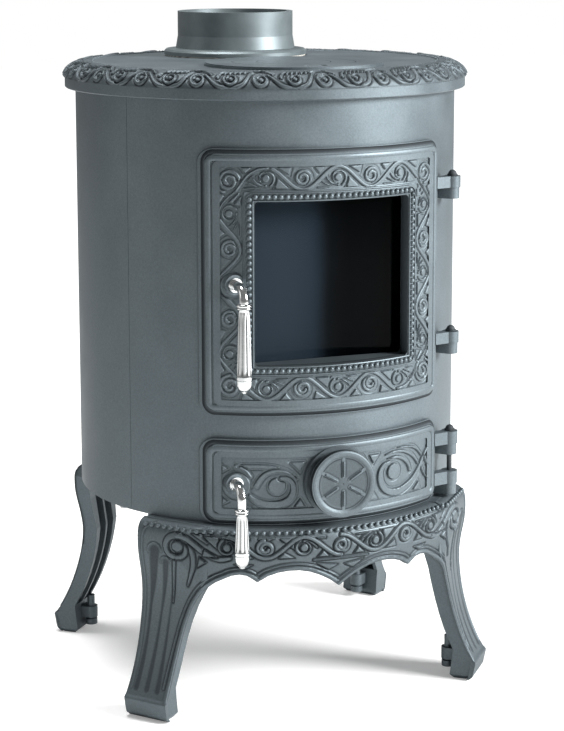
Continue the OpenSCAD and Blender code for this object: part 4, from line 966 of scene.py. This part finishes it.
def lay_rim_motif(relief, s0, pitch):
    """One repeat of the rim's ornament over (s, v): a rolled tendril and a leaf bowl"""
    b, a = s0 - 0.5 * pitch + 4, s0 + 4.5
    relief.strap(arc((b, 9.0), 7.4, 2.8, 100, 500, 50), 1.9)
    relief.disc((b, 9.0), 2.6)
    relief.strap(curve_through([(b + 6, 15), (b + 11, 10), (b + 17, 4.5), (a - 6, 1.8), (a + 4, 1.6),
                                (a + 12, 4.5), (a + 16, 11), (a + 19, 19), (a + 24, 23.5)], 60), [1.7, 2.0, 1.4])
    relief.strap(arc((a + 1, 10.0), 6.6, 3.2, 150, 400, 40), 1.6)
    relief.disc((a + 1, 10.0), 2.4)
    relief.strap(curve_through([(a - 12, 12), (a - 10, 18), (a - 4, 23.5)], 20), [1.8, 0.8])
    for k in range(5):
        x = a - 6 + 4.6 * k
        relief.strap([(x, 17.5 + 0.5 * k), (x + 4.2, 25.2)], [1.2, 0.7])
    relief.strap(curve_through([(b - 12, 21), (b - 6, 23.5), (b + 3, 22.5), (b + 10, 17)], 26), [1.0, 1.7])


class STOVE_OT_rim(bpy.types.Operator):
    """Makes the ornament of the rim and the fine beads at the edge of the hob"""
    bl_idname = "stove.rim"
    bl_label = "Rim ornament"

    def execute(self, context):
        set_ = context.scene.stove_body
        n, pitch, columns = set_.rim_repeats, 2 * math.pi * RIM_R / set_.rim_repeats, 76
        s = (np.arange(columns * n) / columns) * pitch
        angle = np.linspace(0, 1, 46) * math.pi / 2
        out, up = np.cos(angle), np.sin(angle)
        r0, z0 = HOB_R + OVOLO_WIDE * out, OVOLO_FOOT + OVOLO_HIGH * up
        v = np.concatenate([[0], np.cumsum(np.hypot(np.diff(r0), np.diff(z0)))])
        ss, vv = np.meshgrid(s[:columns], v)
        relief = Relief(ss, vv, set_.rim_rise / MM, 0.9)
        for k in (-1, 0, 1):
            lay_rim_motif(relief, pitch * (k + 0.5), pitch)
        high, dark = [np.tile(value.reshape(ss.shape), (1, n)) for value in (relief.height, relief.hollow())]
        # The ornament fades out at the plain band below it and at the hob's border
        fade = np.minimum(1, np.minimum(vv[:, :1] / 1.6, (v[-1] - 2.6 - vv[:, :1]) / 1.6)).clip(0, 1)
        # Painted shade: the whole ornament is darkened a little, and more in its lines
        dark = 0.28 + 0.72 * dark * fade

        def sheet(h):
            r, z = r0[:, None] + h * out[:, None], z0[:, None] + h * up[:, None]
            return bent(s[None, :] / RIM_R - math.radians(5.0), np.broadcast_to(z, (len(v), s.size)), r, 1)

        back = sheet(-2.0)[::8][::-1]
        cast_sheet("rim_scrolls", "stove", np.concatenate([sheet(high * fade + 1.2), back]),
                   np.concatenate([dark, np.zeros(back.shape[:2])]))
        path = bent(np.linspace(0, 2 * math.pi, 720), np.full(720, HOB_BEAD_Z), HOB_BEAD_R, 1)
        bead_row("hob_beads", path, 2 * math.pi * HOB_BEAD_R * MM / set_.rim_beads, 0.0009, "stove")
        return {"FINISHED"}


# ---------- air wheel and handles ----------

WHEEL_FRONT = -214.6
# The wheel's face: radii, and distances in front of the rim's plane
WHEEL_FACE = ([0, 22, 25.5, 26.8, 28.3, 30.4, 31.4, 31.9], [-1.3, -1.5, -1.1, -0.1, 0.35, 0.35, -0.1, -1.2])
# Its rolled edge and its back, as radius and y
WHEEL_EDGE = np.array([(32.25, -213), (32.3, -212), (32.3, -211), (32.3, -210.5), (32.3, -210), (32.2, -209),
                       (31.8, -208.2), (30.5, -207.8), (0.6, -211.8)])
FLUTE_DEEP = 0.55
# The grips: distance down from the top, radius; the second list runs from the end of the flutes
GRIP_TOP = [(0.0, 5.2), (0.3, 6.6), (0.9, 7.3), (2.3, 7.4), (2.9, 6.9), (3.3, 6.2), (3.9, 6.9), (4.6, 7.1),
            (5.4, 6.7), (6.0, 5.5), (7.0, 5.2)]
GRIP_END = [(0.8, 7.4), (1.2, 6.8), (1.6, 7.5), (4.0, 7.5), (4.4, 6.9), (4.8, 7.5), (9.0, 7.3), (12.0, 6.5)]


class STOVE_OT_air_wheel(bpy.types.Operator):
    """Makes the air wheel: thick rolled rim, dished face and rounded ribs"""
    bl_idname = "stove.air_wheel"
    bl_label = "Air wheel"

    def execute(self, context):
        radii, count = np.linspace(0.6, 31.9, 74), 240
        angles = np.linspace(0, 2 * math.pi, count, endpoint=False)
        rr, aa = np.meshgrid(radii, angles, indexing="ij")
        u, v = rr * np.sin(aa), rr * np.cos(aa)
        relief = Relief(u, v, 1.7, 0.5)
        for k in range(6):
            d = np.array([math.sin(k * math.pi / 3), math.cos(k * math.pi / 3)])
            relief.strap([d * 8.0, d * 20.5], [1.7, 1.9], 2.1, 0.35, 1.5)
        face = np.interp(radii, *WHEEL_FACE)[:, None]
        front = np.stack([u, WHEEL_FRONT - face - relief.height.reshape(rr.shape), ASH_MID + v], -1)
        r = WHEEL_EDGE[:, :1]
        edge = np.stack([r * np.sin(angles), np.repeat(WHEEL_EDGE[:, 1:], count, 1), ASH_MID + r * np.cos(angles)], -1)
        # Painted shade in the groove inside the rim and over the dish, less on the rim and the ribs; the rolled edge
        # and back get painted shade too
        groove = np.repeat(ease((25.6 - radii) / 1.2) * ease((radii - 23.0) / 1.5), count) * 0.9
        dish = np.repeat(ease((25.5 - radii) / 2.0), count) * (1 - ease(relief.height / 1.2)) * 0.34
        hollow = np.maximum(np.maximum(relief.hollow() * 0.9, groove), dish)
        cast_sheet("air_wheel_face", "air_wheel", np.concatenate([front, edge]),
                   np.concatenate([hollow, np.full(edge.size // 3, 0.95)]), 45)
        return {"FINISHED"}


class STOVE_OT_grips(bpy.types.Operator):
    """Makes the two fluted grips with their turned collars and ends"""
    bl_idname = "stove.grips"
    bl_label = "Fluted grips"

    def execute(self, context):
        count = 168
        a = np.linspace(0, 2 * math.pi, count, endpoint=False)
        flute = np.abs(np.cos(a * 5))[None, :]
        for node, body in (("fire_grip", "fire_handle"), ("ash_grip", "ash_handle")):
            low, high = [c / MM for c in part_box(node)]
            x, y = (low[0] + high[0]) / 2, (low[1] + high[1]) / 2
            top, length = high[2], high[2] - low[2]
            end = length - 15
            # Distance down from the top, radius, depth of the flutes
            rows = [(down, r, 0) for down, r in GRIP_TOP]
            for t in np.linspace(0, 1, 22):
                rows.append((8.0 + (end - 8.0) * t, 5.3 + 1.95 * t ** 0.9,
                             FLUTE_DEEP * min(1, 12 * t, 14 * (1 - t))))
            rows += [(end + down, r, 0) for down, r in GRIP_END] + [(length - 0.6, 4.8, 0), (length, 4.0, 0)]
            down, rad, deep = [column[:, None] for column in np.array([(0, 0.05, 0), *rows, (length, 0.05, 0)]).T]
            r = rad - deep * (1 - flute ** 0.6) * 1.6
            grid = np.stack([x + r * np.cos(a), y + r * np.sin(a), np.repeat(top - down, count, 1)], -1)
            # Painted shade in the bottoms of the flutes
            hollow = np.clip(deep / FLUTE_DEEP * (1 - flute ** 0.8) * 0.9, 0, 1)
            mesh = mesh_from(node + "_fluted", grid.reshape(-1, 3),
                             grid_faces(*grid.shape[:2], False, True).tolist(), hollow.ravel(), 50)
            work = bmesh.new()
            work.from_mesh(mesh)
            bmesh.ops.holes_fill(work, edges=[e for e in work.edges if e.is_boundary], sides=0)
            work.to_mesh(mesh)
            work.free()
            piece(node + "_fluted", mesh, body, "nickel", node)
        return {"FINISHED"}


# ---------- panel and run ----------

SETTINGS = {"stove_door": StoveDoorSettings, "stove_body": StoveBodySettings, "stove_finish": StoveFinishSettings}
OPERATORS = [STOVE_OT_stage, STOVE_OT_finishes, STOVE_OT_fire_door, STOVE_OT_ash_door, STOVE_OT_leg_frame,
             STOVE_OT_rear_legs, STOVE_OT_rim, STOVE_OT_air_wheel, STOVE_OT_grips]


class STOVE_PT_panel(bpy.types.Panel):
    """Lists the settings and the steps in the order they run"""
    bl_idname = "STOVE_PT_panel"
    bl_label = "Stove"
    bl_space_type = "VIEW_3D"
    bl_region_type = "UI"
    bl_category = "Stove"

    def draw(self, context):
        for group in SETTINGS:
            settings = getattr(context.scene, group)
            for name in settings.bl_rna.properties.keys():
                if name not in {"rna_type", "name"}:
                    self.layout.prop(settings, name)
        for operator in OPERATORS:
            self.layout.operator(operator.bl_idname)


CLASSES = [*SETTINGS.values(), *OPERATORS, STOVE_PT_panel]


def register():
    for cls in CLASSES:
        bpy.utils.register_class(cls)
    for name, cls in SETTINGS.items():
        setattr(bpy.types.Scene, name, bpy.props.PointerProperty(type=cls))


def unregister():
    for name in SETTINGS:
        delattr(bpy.types.Scene, name)
    for cls in reversed(CLASSES):
        bpy.utils.unregister_class(cls)


def main():
    register()
    for operator in OPERATORS:
        group, name = operator.bl_idname.split(".")
        getattr(getattr(bpy.ops, group), name)()


if __name__ == "__main__":
    main()
